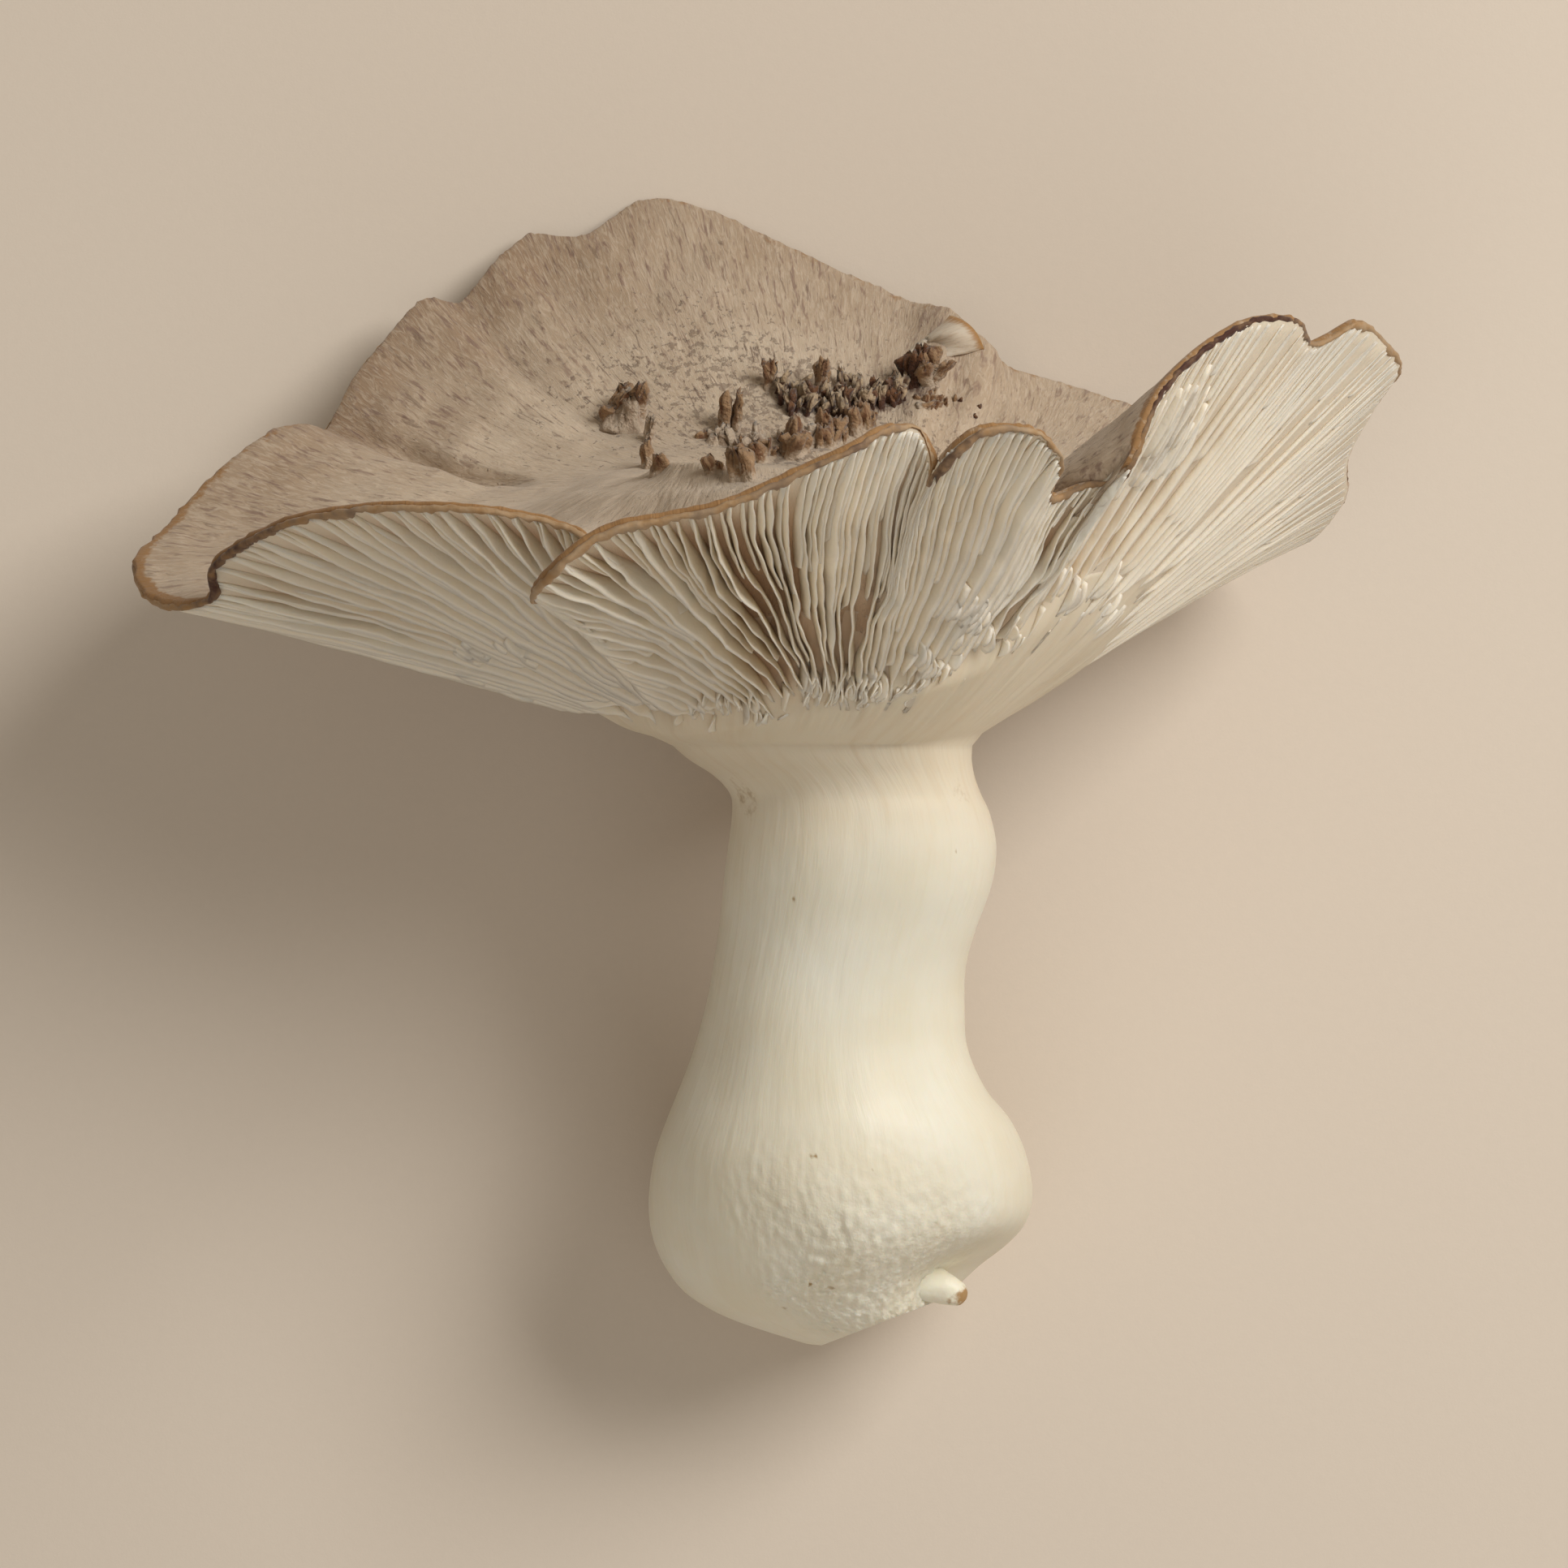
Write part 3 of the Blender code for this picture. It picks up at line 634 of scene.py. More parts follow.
print("working out the gill side")
gillField = {
    "height": 4.4,  # millimetres, of the tallest gills
    "bedStep": 0.25,
    "bedRows": 61,
    # Bearing, then where the gills start, how tall they are, how far they lean over, how far they sway in
    # millimetres, and how many degrees they drift round the stem on their way down to the neck.
    "rows": (
        (0, 0.30, 0.16, 0.0, 0.15, 0), (25, 0.36, 0.20, 0.0, 0.25, 0), (40, 0.42, 0.34, 0.0, 0.5, 0),
        (50, 0.40, 0.55, -0.1, 0.6, 0), (62, 0.36, 0.70, -0.25, 0.65, 0), (74, 0.28, 0.80, -0.4, 0.65, -5),
        (85, 0.21, 0.60, -0.35, 0.65, -12), (91, 0.19, 0.45, -0.3, 0.65, -16),
        (100, 0.17, 0.50, -0.3, 0.65, -22),
        (109, 0.15, 0.55, -0.3, 0.6, -29), (116, 0.14, 0.70, -0.25, 0.5, -33),
        (122, 0.13, 0.90, -0.05, 0.5, -35),
        (128, 0.12, 0.85, 0.15, 0.5, -37),
        (140, 0.10, 0.70, 0.25, 0.45, -36),
        (149, 0.09, 0.95, 0.1, 0.45, -28), (157, 0.09, 0.95, 0.1, 0.45, -22),
        (165, 0.08, 0.70, 0.2, 0.5, -18),
        (180, 0.09, 0.5, 0.2, 0.45, -12), (200, 0.10, 0.45, 0.10, 0.3, -6), (225, 0.11, 0.6, 0.0, 0.3, 0),
        (250, 0.12, 0.80, 0.00, 0.35, 0), (300, 0.16, 0.50, 0.00, 0.30, 0), (335, 0.22, 0.28, 0.05, 0.20, 0),
    ),
    "driftPower": 2.0,
    "spare": 0.72,  # share of the flesh that the gills may cut into
}


def fleshLimit():
    # Free depth between the gill side and the skin, as rows of reach by columns of bearing.
    coarse = np.arange(0.0, fullTurn, 2.0)
    skinReaches = np.linspace(1, 0, 30)
    skinRings = list(skinSheet(coarse, skinReaches))
    centre = np.array(shape["capCentre"])
    vertices, faces = closedRings(skinRings, skinRings[0].mean(axis=0), centre)
    skinFaces = faces[: (len(skinReaches) - 1) * len(coarse)]
    tree = BVHTree.FromPolygons([tuple(v) for v in vertices], skinFaces)
    reaches = np.linspace(0.0, 1.0, 24)
    spots = gillSheet(coarse, reaches)
    out = sheetFrames(coarse, reaches)[0]
    free = np.full(spots.shape[:2], 12.0)
    for row in range(len(reaches)):
        for column in range(len(coarse)):
            hit = tree.ray_cast(Vector(spots[row, column]), Vector(-out[row, column]), 12.0)
            if hit[0] is not None:
                free[row, column] = hit[3]
    return coarse, reaches, free * gillField["spare"]


limitBearings, limitReaches, limitTable = fleshLimit()


def onGrid(table, tableBearings, tableReaches, bearings, reaches):
    # A table of reach by bearing, read between its rows and columns.
    wrapped = np.concatenate([tableBearings, [tableBearings[0] + fullTurn]])
    padded = np.concatenate([table, table[:, :1]], axis=1)
    rows = np.array([np.interp(np.mod(bearings, fullTurn), wrapped, row) for row in padded])
    at = np.interp(reaches, tableReaches, np.arange(len(tableReaches)))
    low = np.clip(at.astype(int), 0, len(tableReaches) - 2)
    share = (at - low)[:, None]
    return rows[low] * (1 - share) + rows[low + 1] * share


def gillDepths(bearings, reaches):
    reaches = np.asarray(reaches, float)
    field = course(gillField["rows"], bearings)
    rise = eased(reaches[:, None], field[None, :, 0] - 0.04, field[None, :, 0] + 0.16)
    fall = 0.1 + 0.9 * np.clip((1 - reaches) / 0.3, 0, 1) ** 0.8
    depth = gillField["height"] * field[None, :, 1] * rise * fall[:, None]
    depth = np.minimum(depth, foldRoom(bearings, reaches))
    return np.minimum(depth, onGrid(limitTable, limitBearings, limitReaches, bearings, reaches))


def flowOf(bearings, along, radius=42.0, squeeze=7.0):
    # Texture coordinates in millimetres that run round the cap and, squeezed, along the gills.
    every = np.arange(0.0, fullTurn + 1)
    steps = np.linalg.norm(np.diff(course(marginRows, every), axis=0), axis=1)
    travelled = np.concatenate([[0], np.cumsum(steps)])
    angle = 2 * np.pi * np.interp(np.mod(bearings, fullTurn), every, travelled / travelled[-1])
    angle = 0.5 * angle + 0.5 * np.radians(bearings)
    ring = np.column_stack([radius * np.cos(angle), radius * np.sin(angle)])
    flow = np.empty((len(along), len(bearings), 3))
    flow[:, :, :2] = ring[None]
    flow[:, :, 2] = np.asarray(along)[:, None] / squeeze
    return flow


def buildCap():
    bearings = spreadBearings(cap["columns"])
    fleshReaches = np.linspace(cap["fleshFrom"], 1.0, cap["fleshRows"])
    edge = gillSheet(bearings, fleshReaches)
    out, along, _ = sheetFrames(bearings, fleshReaches)
    depths = gillDepths(bearings, fleshReaches)
    depths[0] += 2.0
    flesh = edge - out * depths[:, :, None]

    skinReaches = 1 - np.linspace(0, 1, cap["skinRows"]) ** 1.25
    upper = skinSheet(bearings, skinReaches)
    rows = np.gradient(upper, axis=0)
    columns = (np.roll(upper, -1, axis=1) - np.roll(upper, 1, axis=1))
    skinOut = unit(np.cross(columns, rows))
    skinOut *= np.sign(np.sum(skinOut[-1] * np.array([0, 1, 0]), axis=1).mean())
    calm = eased(1 - skinReaches, 0.0, 0.06)[:, None]
    relief = cap["undulation"] * (noiseAt(upper, 0.16, 3.0) + 0.5 * noiseAt(upper, 0.4, 9.0))
    skinFlow = flowOf(bearings, skinReaches * 60)
    fibres = ridgesAt(skinFlow, 0.8, 5.0) + 0.6 * ridgesAt(skinFlow, 1.9, 1.0)
    relief = relief + cap["fibreRelief"] * fibres
    upper = upper + skinOut * (relief * calm)[:, :, None]

    centre = (flesh[-1] + upper[0]) / 2
    half = (flesh[-1] - upper[0]) / 2
    outward = unit(along[-1])
    ragged = 0.7 + 0.8 * noiseAt(centre, 1.1, 2.0) + 0.5 * noiseAt(centre, 2.7, 4.0)
    rimRows = []
    for angle in np.radians((30, 60, 90, 120, 150)):
        bulge = (cap["rimBulge"] * np.clip(ragged, 0.1, 2.0) * math.sin(angle))[:, None]
        rimRows.append(centre + half * math.cos(angle) + outward * bulge)

    middle = np.array(shape["capCentre"])
    crown = upper[-1]
    shares = np.linspace(1, 0, cap["crownRows"] + 2)[1:-1]
    crownRows = [middle + (crown - middle) * share for share in shares]
    rings = [*flesh, *rimRows, *upper, *crownRows]
    vertices, faces = closedRings(rings, np.array(cap["innerPole"]), middle)

    reach = [*fleshReaches, *([1.0] * len(rimRows)), *skinReaches, *([0.0] * len(crownRows))]
    rim = [0.0] * (len(fleshReaches) - 1) + [0.6] + [1.0] * len(rimRows)
    rim += list(1 - eased(1 - skinReaches, 0.0, 0.03)) + [0.0] * len(crownRows)
    count = len(bearings)

    def spread(values):
        return np.concatenate([np.repeat(np.array(values, float), count), [values[0], values[-1]]])

    flow = flowOf(bearings, np.array(reach) * 60)
    flow = np.concatenate([flow.reshape(-1, 3), [[0, 0, 0], [0, 0, 0]]])
    fleshy = spread([1.0] * len(fleshReaches) + [0.0] * (len(rings) - len(fleshReaches)))
    deep = np.concatenate([(depths / gillField["height"]).ravel(), np.zeros(len(vertices) - depths.size)])
    turn = np.tile(bearings, len(rings))
    turn = np.concatenate([turn, [0, 0]])
    reachAll = spread(reach)
    surface = course(cap["surface"], turn).T
    fields = {
        "flow": flow, "side": fleshy, "deep": deep,
        "streaks": surface[0] * (0.3 + 0.7 * eased(reachAll, 0.4, 0.9)),
        "flecks": surface[1] * (1 - 0.85 * eased(reachAll, 0.6, 0.95)),
        "browned": surface[2] * eased(reachAll + 0.12 * noiseAt(vertices, 0.12, 5.0), 0.55, 1.05),
        "rim": spread(rim) * (0.15 + 0.85 * surface[3]),
    }
    return newMesh("cap", laid(vertices), faces, capMaterial(), fields)


def surfaceTree(piece):
    corners = [v.co.copy() for v in piece.data.vertices]
    return BVHTree.FromPolygons(corners, [list(p.vertices) for p in piece.data.polygons])


capPiece = buildCap()
capTree = surfaceTree(capPiece)


def seenAt(surface, px, py):
    # The first point of a surface on the line of sight through a pixel, and its way out.
    eye, way = sightLine(px, py)
    place, normal, _, _ = surface.ray_cast(eye, way)
    if place is None:
        return None, None
    return place, (normal if normal.dot(way) < 0 else -normal)


def stainAndShadePiece(piece, surface, rows):
    # Soft round stains and patches of painted shade on a piece.
    places = np.array([v.co for v in piece.data.vertices])
    stainAndShade = np.zeros(len(places))
    for px, py, radius, strength in rows:
        spot = seenAt(surface, px, py)[0]
        if spot is not None:
            distance = np.linalg.norm(places - np.array(spot), axis=1)
            stainAndShade = np.maximum(stainAndShade, strength * (1 - eased(distance, 0.4 * radius * mm, 1.3 * radius * mm)))
    setAttribute(piece.data, "stainAndShade", stainAndShade)


stainAndShadePiece(capPiece, capTree, cap["stainsAndShade"])
finishPiece(capPiece)


# The stem, from the knife cut at its foot to the neck under the gills.
stem = {
    # Y, then the X of its left and right sides.
    "rows": (
        (1.0, -20.0, 13.4), (-0.6, -18.0, 13.4), (-2.3, -15.3, 13.7), (-4.3, -13.5, 14.4),
        (-6.6, -13.3, 15.4), (-10.5, -13.9, 16.2), (-14.5, -14.5, 15.7), (-19.0, -15.0, 14.1),
        (-23.6, -15.7, 12.8), (-28.2, -16.5, 12.4), (-32.8, -17.6, 12.9), (-37.5, -19.3, 15.2),
        (-41.2, -20.8, 18.0), (-45.0, -22.2, 19.7), (-48.9, -22.8, 20.5), (-52.6, -22.7, 20.1),
        (-55.8, -22.0, 18.3), (-58.6, -20.7, 15.0), (-61.2, -18.6, 12.0), (-63.6, -14.8, 10.5),
        (-65.4, -10.5, 9.5), (-67.0, -6.0, 8.5),
    ),
    "columns": 450,
    "stemRings": 150,
    "neckRings": 50,
    "neckTo": 0.5,
    "innerPole": (-2.0, 16.0, -2.0),
    "dent": {"bearing": 34.0, "y": -57.5, "bearingSpread": 20.0, "ySpread": 2.4, "depth": 4.2},
    "cutPoint": (4.7, -64.2, -18.0),
    "cutFacing": (0.356, -0.93, 0.09),
    "roughBearing": 72.0,
    "lumps": 0.42,
    # Painted shade in dents and a painted shadow line along the top of the stem, with specks and stains: pixel of
    # the photograph, radius in mm and strength.
    "stainsAndShade": (
        (1000, 1423, 0.35, 0.8), (1005, 1425, 0.3, 0.8), (1074, 1442, 0.3, 0.8), (998, 1583, 0.35, 1.0),
        (1120, 1578, 0.3, 0.8), (960, 1600, 0.5, 0.5), (968, 1612, 0.6, 0.6), (974, 1618, 0.4, 0.6),
        (920, 985, 2.6, 0.5), (905, 965, 1.8, 0.4), (1185, 975, 2.2, 0.3), (978, 1107, 0.25, 0.8),
        (1178, 1050, 0.25, 0.8),
    ),
    "fibreRelief": 0.02,
    "neckRidges": 0.22,
    "paleFlesh": (0.84, 0.80, 0.67),
    "creamFlesh": (0.76, 0.67, 0.48),
    "neckFlesh": (0.70, 0.575, 0.41),
    "stainAndShade": (0.36, 0.22, 0.08),
    "deepGillShade": (0.56, 0.39, 0.25),
    "shallowFlesh": (0.78, 0.67, 0.51),
    "cutFlesh": (0.84, 0.83, 0.80),
    "subsurface": 0.25,
}


def stemRing(y, left, right, bearings):
    angle = np.radians(bearings)
    half = (right - left) / 2
    dent = stem["dent"]
    turn = (bearings - dent["bearing"] + fullTurn / 2) % fullTurn - fullTurn / 2
    across = np.exp(-0.5 * (turn / dent["bearingSpread"]) ** 2)
    along = math.exp(-0.5 * ((y - dent["y"]) / dent["ySpread"]) ** 2)
    radius = half - dent["depth"] * across * along
    x = (left + right) / 2 + radius * np.cos(angle)
    z = y * math.tan(shape["stemLean"]) + radius * shape["stemRound"] * np.sin(angle)
    return np.column_stack([x, np.full(len(x), y), z])


def stemMaterial():
    material, tree, shader = newMaterial("stemFlesh", stem["subsurface"], 0.0, 0.35)
    blotch = grouped(tree, mottleGroup, Scale=35.0, Detail=3.0)[0]
    colour = blend(tree, blotch, stem["paleFlesh"], stem["creamFlesh"])
    colour = blend(tree, 0.35, colour, stem["paleFlesh"])
    strands = grouped(tree, fibreGroup, Scale=0.8, Low=0.45, High=0.8)
    colour = blend(tree, times(tree, strands["Mask"], 0.25), colour, stem["creamFlesh"])
    necking = times(tree, attributeOf(tree, "neck"), timesPlus(tree, strands["Mask"], 0.35, 0.6))
    colour = blend(tree, necking, colour, stem["neckFlesh"])
    uneven = minus(tree, grouped(tree, mottleGroup, Scale=500.0)[0], 0.5)
    # Stains and specks, with painted shade in dents and along the top of the stem where the gills overhang.
    stainAndShadeMask = timesPlus(tree, uneven, 0.6, attributeOf(tree, "stainAndShade"))
    colour = blend(tree, ramp(tree, stainAndShadeMask, 0.3, 1.1), colour, stem["stainAndShade"])
    # Painted shade: the flesh between the gills at the neck is darkened where the gills stand deep.
    depth = ramp(tree, attributeOf(tree, "deep"), 0.05, 0.6)
    under = blend(tree, depth, stem["shallowFlesh"], stem["deepGillShade"])
    colour = blend(tree, attributeOf(tree, "gillSide"), colour, under)
    specks = grouped(tree, speckGroup, Scale=300.0, Amount=0.0)[0]
    colour = blend(tree, times(tree, specks, 0.6), colour, stem["stainAndShade"])
    colour = blend(tree, attributeOf(tree, "cut"), colour, stem["cutFlesh"])
    grain = grouped(tree, mottleGroup, Scale=700.0)[0]
    height = timesPlus(tree, grain, times(tree, attributeOf(tree, "rough"), 0.8), strands["Height"])
    rough = ramp(tree, attributeOf(tree, "rough"), 0.0, 1.0, 0.42, 0.7)
    finishShader(tree, shader, colour, rough, height, 0.35, 0.0003)
    return material


def buildStem():
    bearings = np.arange(stem["columns"]) * fullTurn / stem["columns"]
    table = np.array(stem["rows"])
    keys = np.linspace(0, 1, len(table))
    shares = np.linspace(0, 1, stem["stemRings"])
    shares = 1 - (1 - shares) ** 0.8
    fine = course(np.column_stack([keys, table[::-1]]), shares, closed=False)
    rings = [stemRing(*row, bearings) for row in fine]
    lower = np.array(rings)
    centre = lower.mean(axis=1, keepdims=True)
    out = unit(lower - centre)
    y = lower[:, :, 1]
    facing = np.cos(np.radians(bearings - stem["roughBearing"]))[None, :]
    rough = eased(-y, 38, 60) * eased(facing + 0.3 * noiseAt(lower, 0.12, 7.0), 0.55, 0.95)
    lumps = noiseAt(lower * np.array([1, 0.8, 1]), 1.2, 1.0) + 0.8 * noiseAt(lower, 2.4, 4.0)
    fibres = noiseAt(np.dstack([lower[:, :, 0], y * 0.12, lower[:, :, 2]]), 0.9, 2.0)
    soft = noiseAt(lower, 0.09, 6.0) * 0.5
    lower = lower + out * (stem["lumps"] * lumps * rough + stem["fibreRelief"] * fibres + soft)[:, :, None]

    reaches = np.linspace(0.02, stem["neckTo"], stem["neckRings"])
    edge = gillSheet(bearings, reaches)
    sheetOut = sheetFrames(bearings, reaches)[0]
    depths = gillDepths(bearings, reaches)
    ridge = noiseAt(flowOf(bearings, reaches * 30), 0.9, 8.0) * eased(reaches, 0.03, 0.2)[:, None]
    upper = edge - sheetOut * (depths - 0.05 - stem["neckRidges"] * ridge)[:, :, None]
    upper[-1] -= sheetOut[-1] * 1.5

    facingCut = np.array(stem["cutFacing"]) / np.linalg.norm(stem["cutFacing"])
    beyond = np.maximum((lower - np.array(stem["cutPoint"])) @ facingCut, 0)
    lower = lower - beyond[:, :, None] * facingCut
    foot = lower[0].mean(axis=0)
    foot = foot - max((foot - np.array(stem["cutPoint"])) @ facingCut, 0) * facingCut
    rings = [*lower, *upper]
    vertices, faces = closedRings(rings, foot, np.array(stem["innerPole"]))

    count = len(bearings)
    none = np.zeros((len(upper), count))
    reachGrid = np.repeat(reaches, count).reshape(-1, count)
    lowerNeck = eased(y, -16, 0)
    field = course(gillField["rows"], bearings)
    gillSide = eased(reachGrid, field[None, :, 0] - 0.02, field[None, :, 0] + 0.12)
    fields = {
        "rough": np.concatenate([rough, none]),
        "neck": np.concatenate([lowerNeck, none + 1]),
        "gillSide": np.concatenate([lower[:, :, 0] * 0, gillSide]),
        "deep": np.concatenate([lower[:, :, 0] * 0, depths / gillField["height"]]),
        "cut": np.concatenate([eased(beyond, 0.0, 0.3), none]),
    }
    flow = flowOf(bearings, np.concatenate([fine[:, 0], reaches * 40]), radius=18.0, squeeze=9.0)
    attributes = {key: np.concatenate([value.ravel(), [0, 0]]) for key, value in fields.items()}
    attributes["flow"] = np.concatenate([flow.reshape(-1, 3), [[0, 0, 0], [0, 0, 0]]])
    return newMesh("stem", laid(vertices), faces, stemMaterial(), attributes)


stemPiece = buildStem()
stainAndShadePiece(stemPiece, surfaceTree(stemPiece), stem["stainsAndShade"])
finishPiece(stemPiece)


# The gills: thin blades of three lengths and torn bits, all bent over one bed.
gills = {
    "pieces": {
        # name: how many, earliest and latest start beyond the field's start, height share, seed
        "gillsLong": {
            "count": 124, "offset": 0.0, "start": (0.0, 0.10), "tall": (0.9, 1.0), "segments": 48, "seed": 3,
        },
        "gillsMiddle": {
            "count": 124, "offset": 0.5, "start": (0.14, 0.40), "tall": (0.72, 0.97), "segments": 36, "seed": 5,
        },
        "gillsShort": {
            "count": 248, "offset": 0.25, "start": (0.40, 0.58), "tall": (0.45, 0.8), "segments": 18, "seed": 8,
        },
    },
    "thickness": 0.00027,  # metres, half of a gill at its root
    "sides": 8,
    "fray": 0.10,
    "ruffle": 0.0006,
    "swing": 0.2,  # how far a gill's free edge may stand aside, in mm
    "edgeColour": (0.91, 0.81, 0.65),
    "sideColour": (0.84, 0.73, 0.56),
    "rootShadeColour": (0.53, 0.35, 0.21),
    "subsurface": 0.3,
    "latestStart": 0.93,
    "finish": 0.995,
    "scrapSeed": 12,
    "scrapSegments": 8,
    # Torn bits: pixel of the photograph and spread in pixels, how many, their length as a share of the
    # reach, how far they stand up and how far they lean aside, in mm.
    "scraps": (
        (1050, 852, 60, 14, 30, 0.07, 0.7, 0.7), (1085, 864, 40, 12, 16, 0.05, 0.8, 0.8),
        (1200, 775, 20, 36, 16, 0.07, 0.8, 0.7), (1150, 834, 36, 20, 16, 0.06, 0.7, 0.7),
        (1335, 748, 36, 28, 18, 0.08, 0.7, 0.7), (1270, 790, 36, 22, 10, 0.07, 0.5, 0.6),
        (615, 836, 50, 34, 16, 0.07, 0.4, 0.5), (900, 882, 70, 14, 22, 0.06, 0.6, 0.6),
        (1440, 545, 32, 42, 18, 0.14, 0.5, 0.6),
    ),
}


def gillMaterial():
    material, tree, shader = newMaterial("deepGillShade", gills["subsurface"], 0.0, 0.3)
    parts = put(tree, "ShaderNodeSeparateXYZ", {0: attributeOf(tree, "tone", "Vector")}).outputs
    blotch = grouped(tree, mottleGroup, Scale=60.0, Detail=3.0)[0]
    # Painted shade: the blades darken from the free edge down towards their roots, where they sit between
    # neighbours.
    colour = blend(tree, ramp(tree, parts[0], 0.1, 0.6), gills["rootShadeColour"], gills["sideColour"])
    colour = blend(tree, ramp(tree, parts[0], 0.65, 0.98), colour, gills["edgeColour"])
    colour = blend(tree, times(tree, blotch, 0.25), colour, gills["sideColour"])
    shade = times(tree, parts[2], 0.12)
    colour = blend(tree, shade, colour, gills["rootShadeColour"])
    grain = grouped(tree, mottleGroup, Scale=900.0)[0]
    rough = ramp(tree, blotch, 0.0, 1.0, 0.5, 0.65)
    finishShader(tree, shader, colour, rough, grain, 0.15, 0.0002)
    return material


def makeBladeTree():
    inputs = [
        ("Bed", "NodeSocketObject", None), ("Segments", "NodeSocketInt", 30), ("Sides", "NodeSocketInt", 6),
        ("Thickness", "NodeSocketFloat", 0.0003), ("Fray", "NodeSocketFloat", 0.1),
        ("Ruffle", "NodeSocketFloat", 0.0003), ("Drift Power", "NodeSocketFloat", 2.0),
        ("Full Height", "NodeSocketFloat", 0.0044),
    ]
    tree, given, out = newGrowth("gillBlades", inputs)
    sockets = {"Vertices": given["Sides"], "Side Segments": given["Segments"], "Radius": 1.0, "Depth": 1.0}
    blade = put(tree, "GeometryNodeMeshCylinder", sockets, fill_type="NGON").outputs["Mesh"]
    blades, spot = spreadCopies(tree, given, blade)
    along = plus(tree, spot[2], 0.5)
    height = timesPlus(tree, spot[1], 0.5, 0.5)
    start, finish, bearing = (named(tree, key) for key in ("start", "finish", "bearing"))
    reach = timesPlus(tree, minus(tree, finish, start), along, start)
    left = power(tree, minus(tree, 1.0, reach), given["Drift Power"])
    drifted = timesPlus(tree, left, named(tree, "drift"), bearing)
    turn = calc(tree, "DIVIDE", plus(tree, drifted, 10.0), 380.0)
    place = put(tree, "ShaderNodeCombineXYZ", {0: turn, 1: reach}).outputs[0]
    bed = put(tree, "GeometryNodeObjectInfo", {"Object": given["Bed"]}).outputs["Geometry"]

    def sampled(value):
        sockets = {0: bed, 1: value, 2: named(tree, "layout", "FLOAT_VECTOR"), 3: place}
        return put(tree, "GeometryNodeSampleUVSurface", sockets, data_type="FLOAT_VECTOR").outputs[0]

    edge = sampled(put(tree, "GeometryNodeInputPosition").outputs[0])
    toRoot = sampled(named(tree, "toRoot", "FLOAT_VECTOR"))
    across = sampled(named(tree, "across", "FLOAT_VECTOR"))
    chance = named(tree, "chance")
    frayed = ramp(tree, along, 0.0, given["Fray"])
    jitter = put(tree, "ShaderNodeCombineXYZ", {
        0: times(tree, chance, 90.0), 1: times(tree, reach, 9.0), 2: times(tree, height, 0.6),
    }).outputs[0]
    wander = put(tree, "ShaderNodeTexNoise", {"Vector": jitter, "Scale": 1.0, "Detail": 2.0}).outputs[0]
    wander = minus(tree, wander, 0.5)
    tall = times(tree, named(tree, "tall"), timesPlus(tree, wander, 0.3, frayed), clamp=True)
    depth = minus(tree, 1.12, times(tree, height, plus(tree, tall, 0.12)))
    thin = times(tree, spot[0], times(tree, given["Thickness"], timesPlus(tree, height, -0.45, 1.0)))
    sway = times(tree, times(tree, wander, given["Ruffle"]), timesPlus(tree, height, 2.0, 0.4))
    arc = times(tree, times(tree, along, 4.0), minus(tree, 1.0, along))
    raised = times(tree, arc, power(tree, height, 1.5))
    swing = times(tree, times(tree, named(tree, "swing"), mm), raised)
    aside = plus(tree, plus(tree, thin, sway), swing)
    target = joined(tree, joined(tree, edge, stretch(tree, toRoot, depth)), stretch(tree, across, aside))
    stand = times(tree, times(tree, named(tree, "stand"), -mm), raised)
    target = joined(tree, target, stretch(tree, aim(tree, "NORMALIZE", toRoot), stand))
    moved = put(tree, "GeometryNodeSetPosition", {"Geometry": blades, "Position": target}).outputs[0]
    length = put(tree, "ShaderNodeVectorMath", {0: toRoot}, operation="LENGTH").outputs["Value"]
    deep = calc(tree, "DIVIDE", length, given["Full Height"], clamp=True)
    # How far down between the blades each point sits; the gill material turns this into painted shade towards the
    # roots.
    rootShade = times(tree, minus(tree, 1.0, height), deep)
    tone = put(tree, "ShaderNodeCombineXYZ", {0: minus(tree, 1.0, rootShade), 1: reach, 2: chance}).outputs[0]
    toned = stored(tree, moved, "tone", tone)
    return handOut(tree, given, out, toned)


def buildBed():
    bearings = np.arange(-10.0, 370.01, gillField["bedStep"])
    reaches = np.linspace(0, 1, gillField["bedRows"])
    edge = gillSheet(bearings, reaches)
    out, _, around = sheetFrames(bearings, reaches)
    depths = gillDepths(bearings, reaches)
    field = course(gillField["rows"], bearings)
    flow = flowOf(bearings, reaches * 60, squeeze=1.0)
    ease = (4 * reaches * (1 - reaches))[:, None]
    broad = noiseAt(flow * np.array([0.5, 0.5, 1]), 0.07, 4.0)
    fine = noiseAt(flow * np.array([0.6, 0.6, 1]), 0.2, 8.0)
    sway = (broad + 0.3 * fine) * 2.4 * field[None, :, 3] * ease
    edge = edge + around * sway[:, :, None]
    toRoot = -out * depths[:, :, None] - around * (depths * field[None, :, 2] + sway * 0.8)[:, :, None]
    u = np.tile((bearings + 10) / 380, len(reaches))
    v = np.repeat(reaches, len(bearings))
    fields = {
        "layout": np.column_stack([u, v, 0 * u]),
        "toRoot": turned(toRoot).reshape(-1, 3),
        "across": unit(around.reshape(-1, 3)) @ restTurn3.T,
    }
    faces = ringFaces(len(reaches), len(bearings), wrap=False)
    return newMesh("gillBed", laid(edge.reshape(-1, 3)), faces, None, fields)


def growGills(name, rows, segments, bed, tree, material):
    # One blade for each row of values.
    fields = {key: [row[key] for row in rows] for key in rows[0]}
    guides = newMesh(name + "Guides", np.zeros((len(rows), 3)), attributes=fields)
    values = {
        "Bed": bed, "Segments": segments, "Sides": gills["sides"], "Thickness": gills["thickness"],
        "Fray": gills["fray"], "Ruffle": gills["ruffle"], "Drift Power": gillField["driftPower"],
        "Full Height": gillField["height"] * mm, "Material": material,
    }
    finishPiece(grow(name, guides, tree, values))


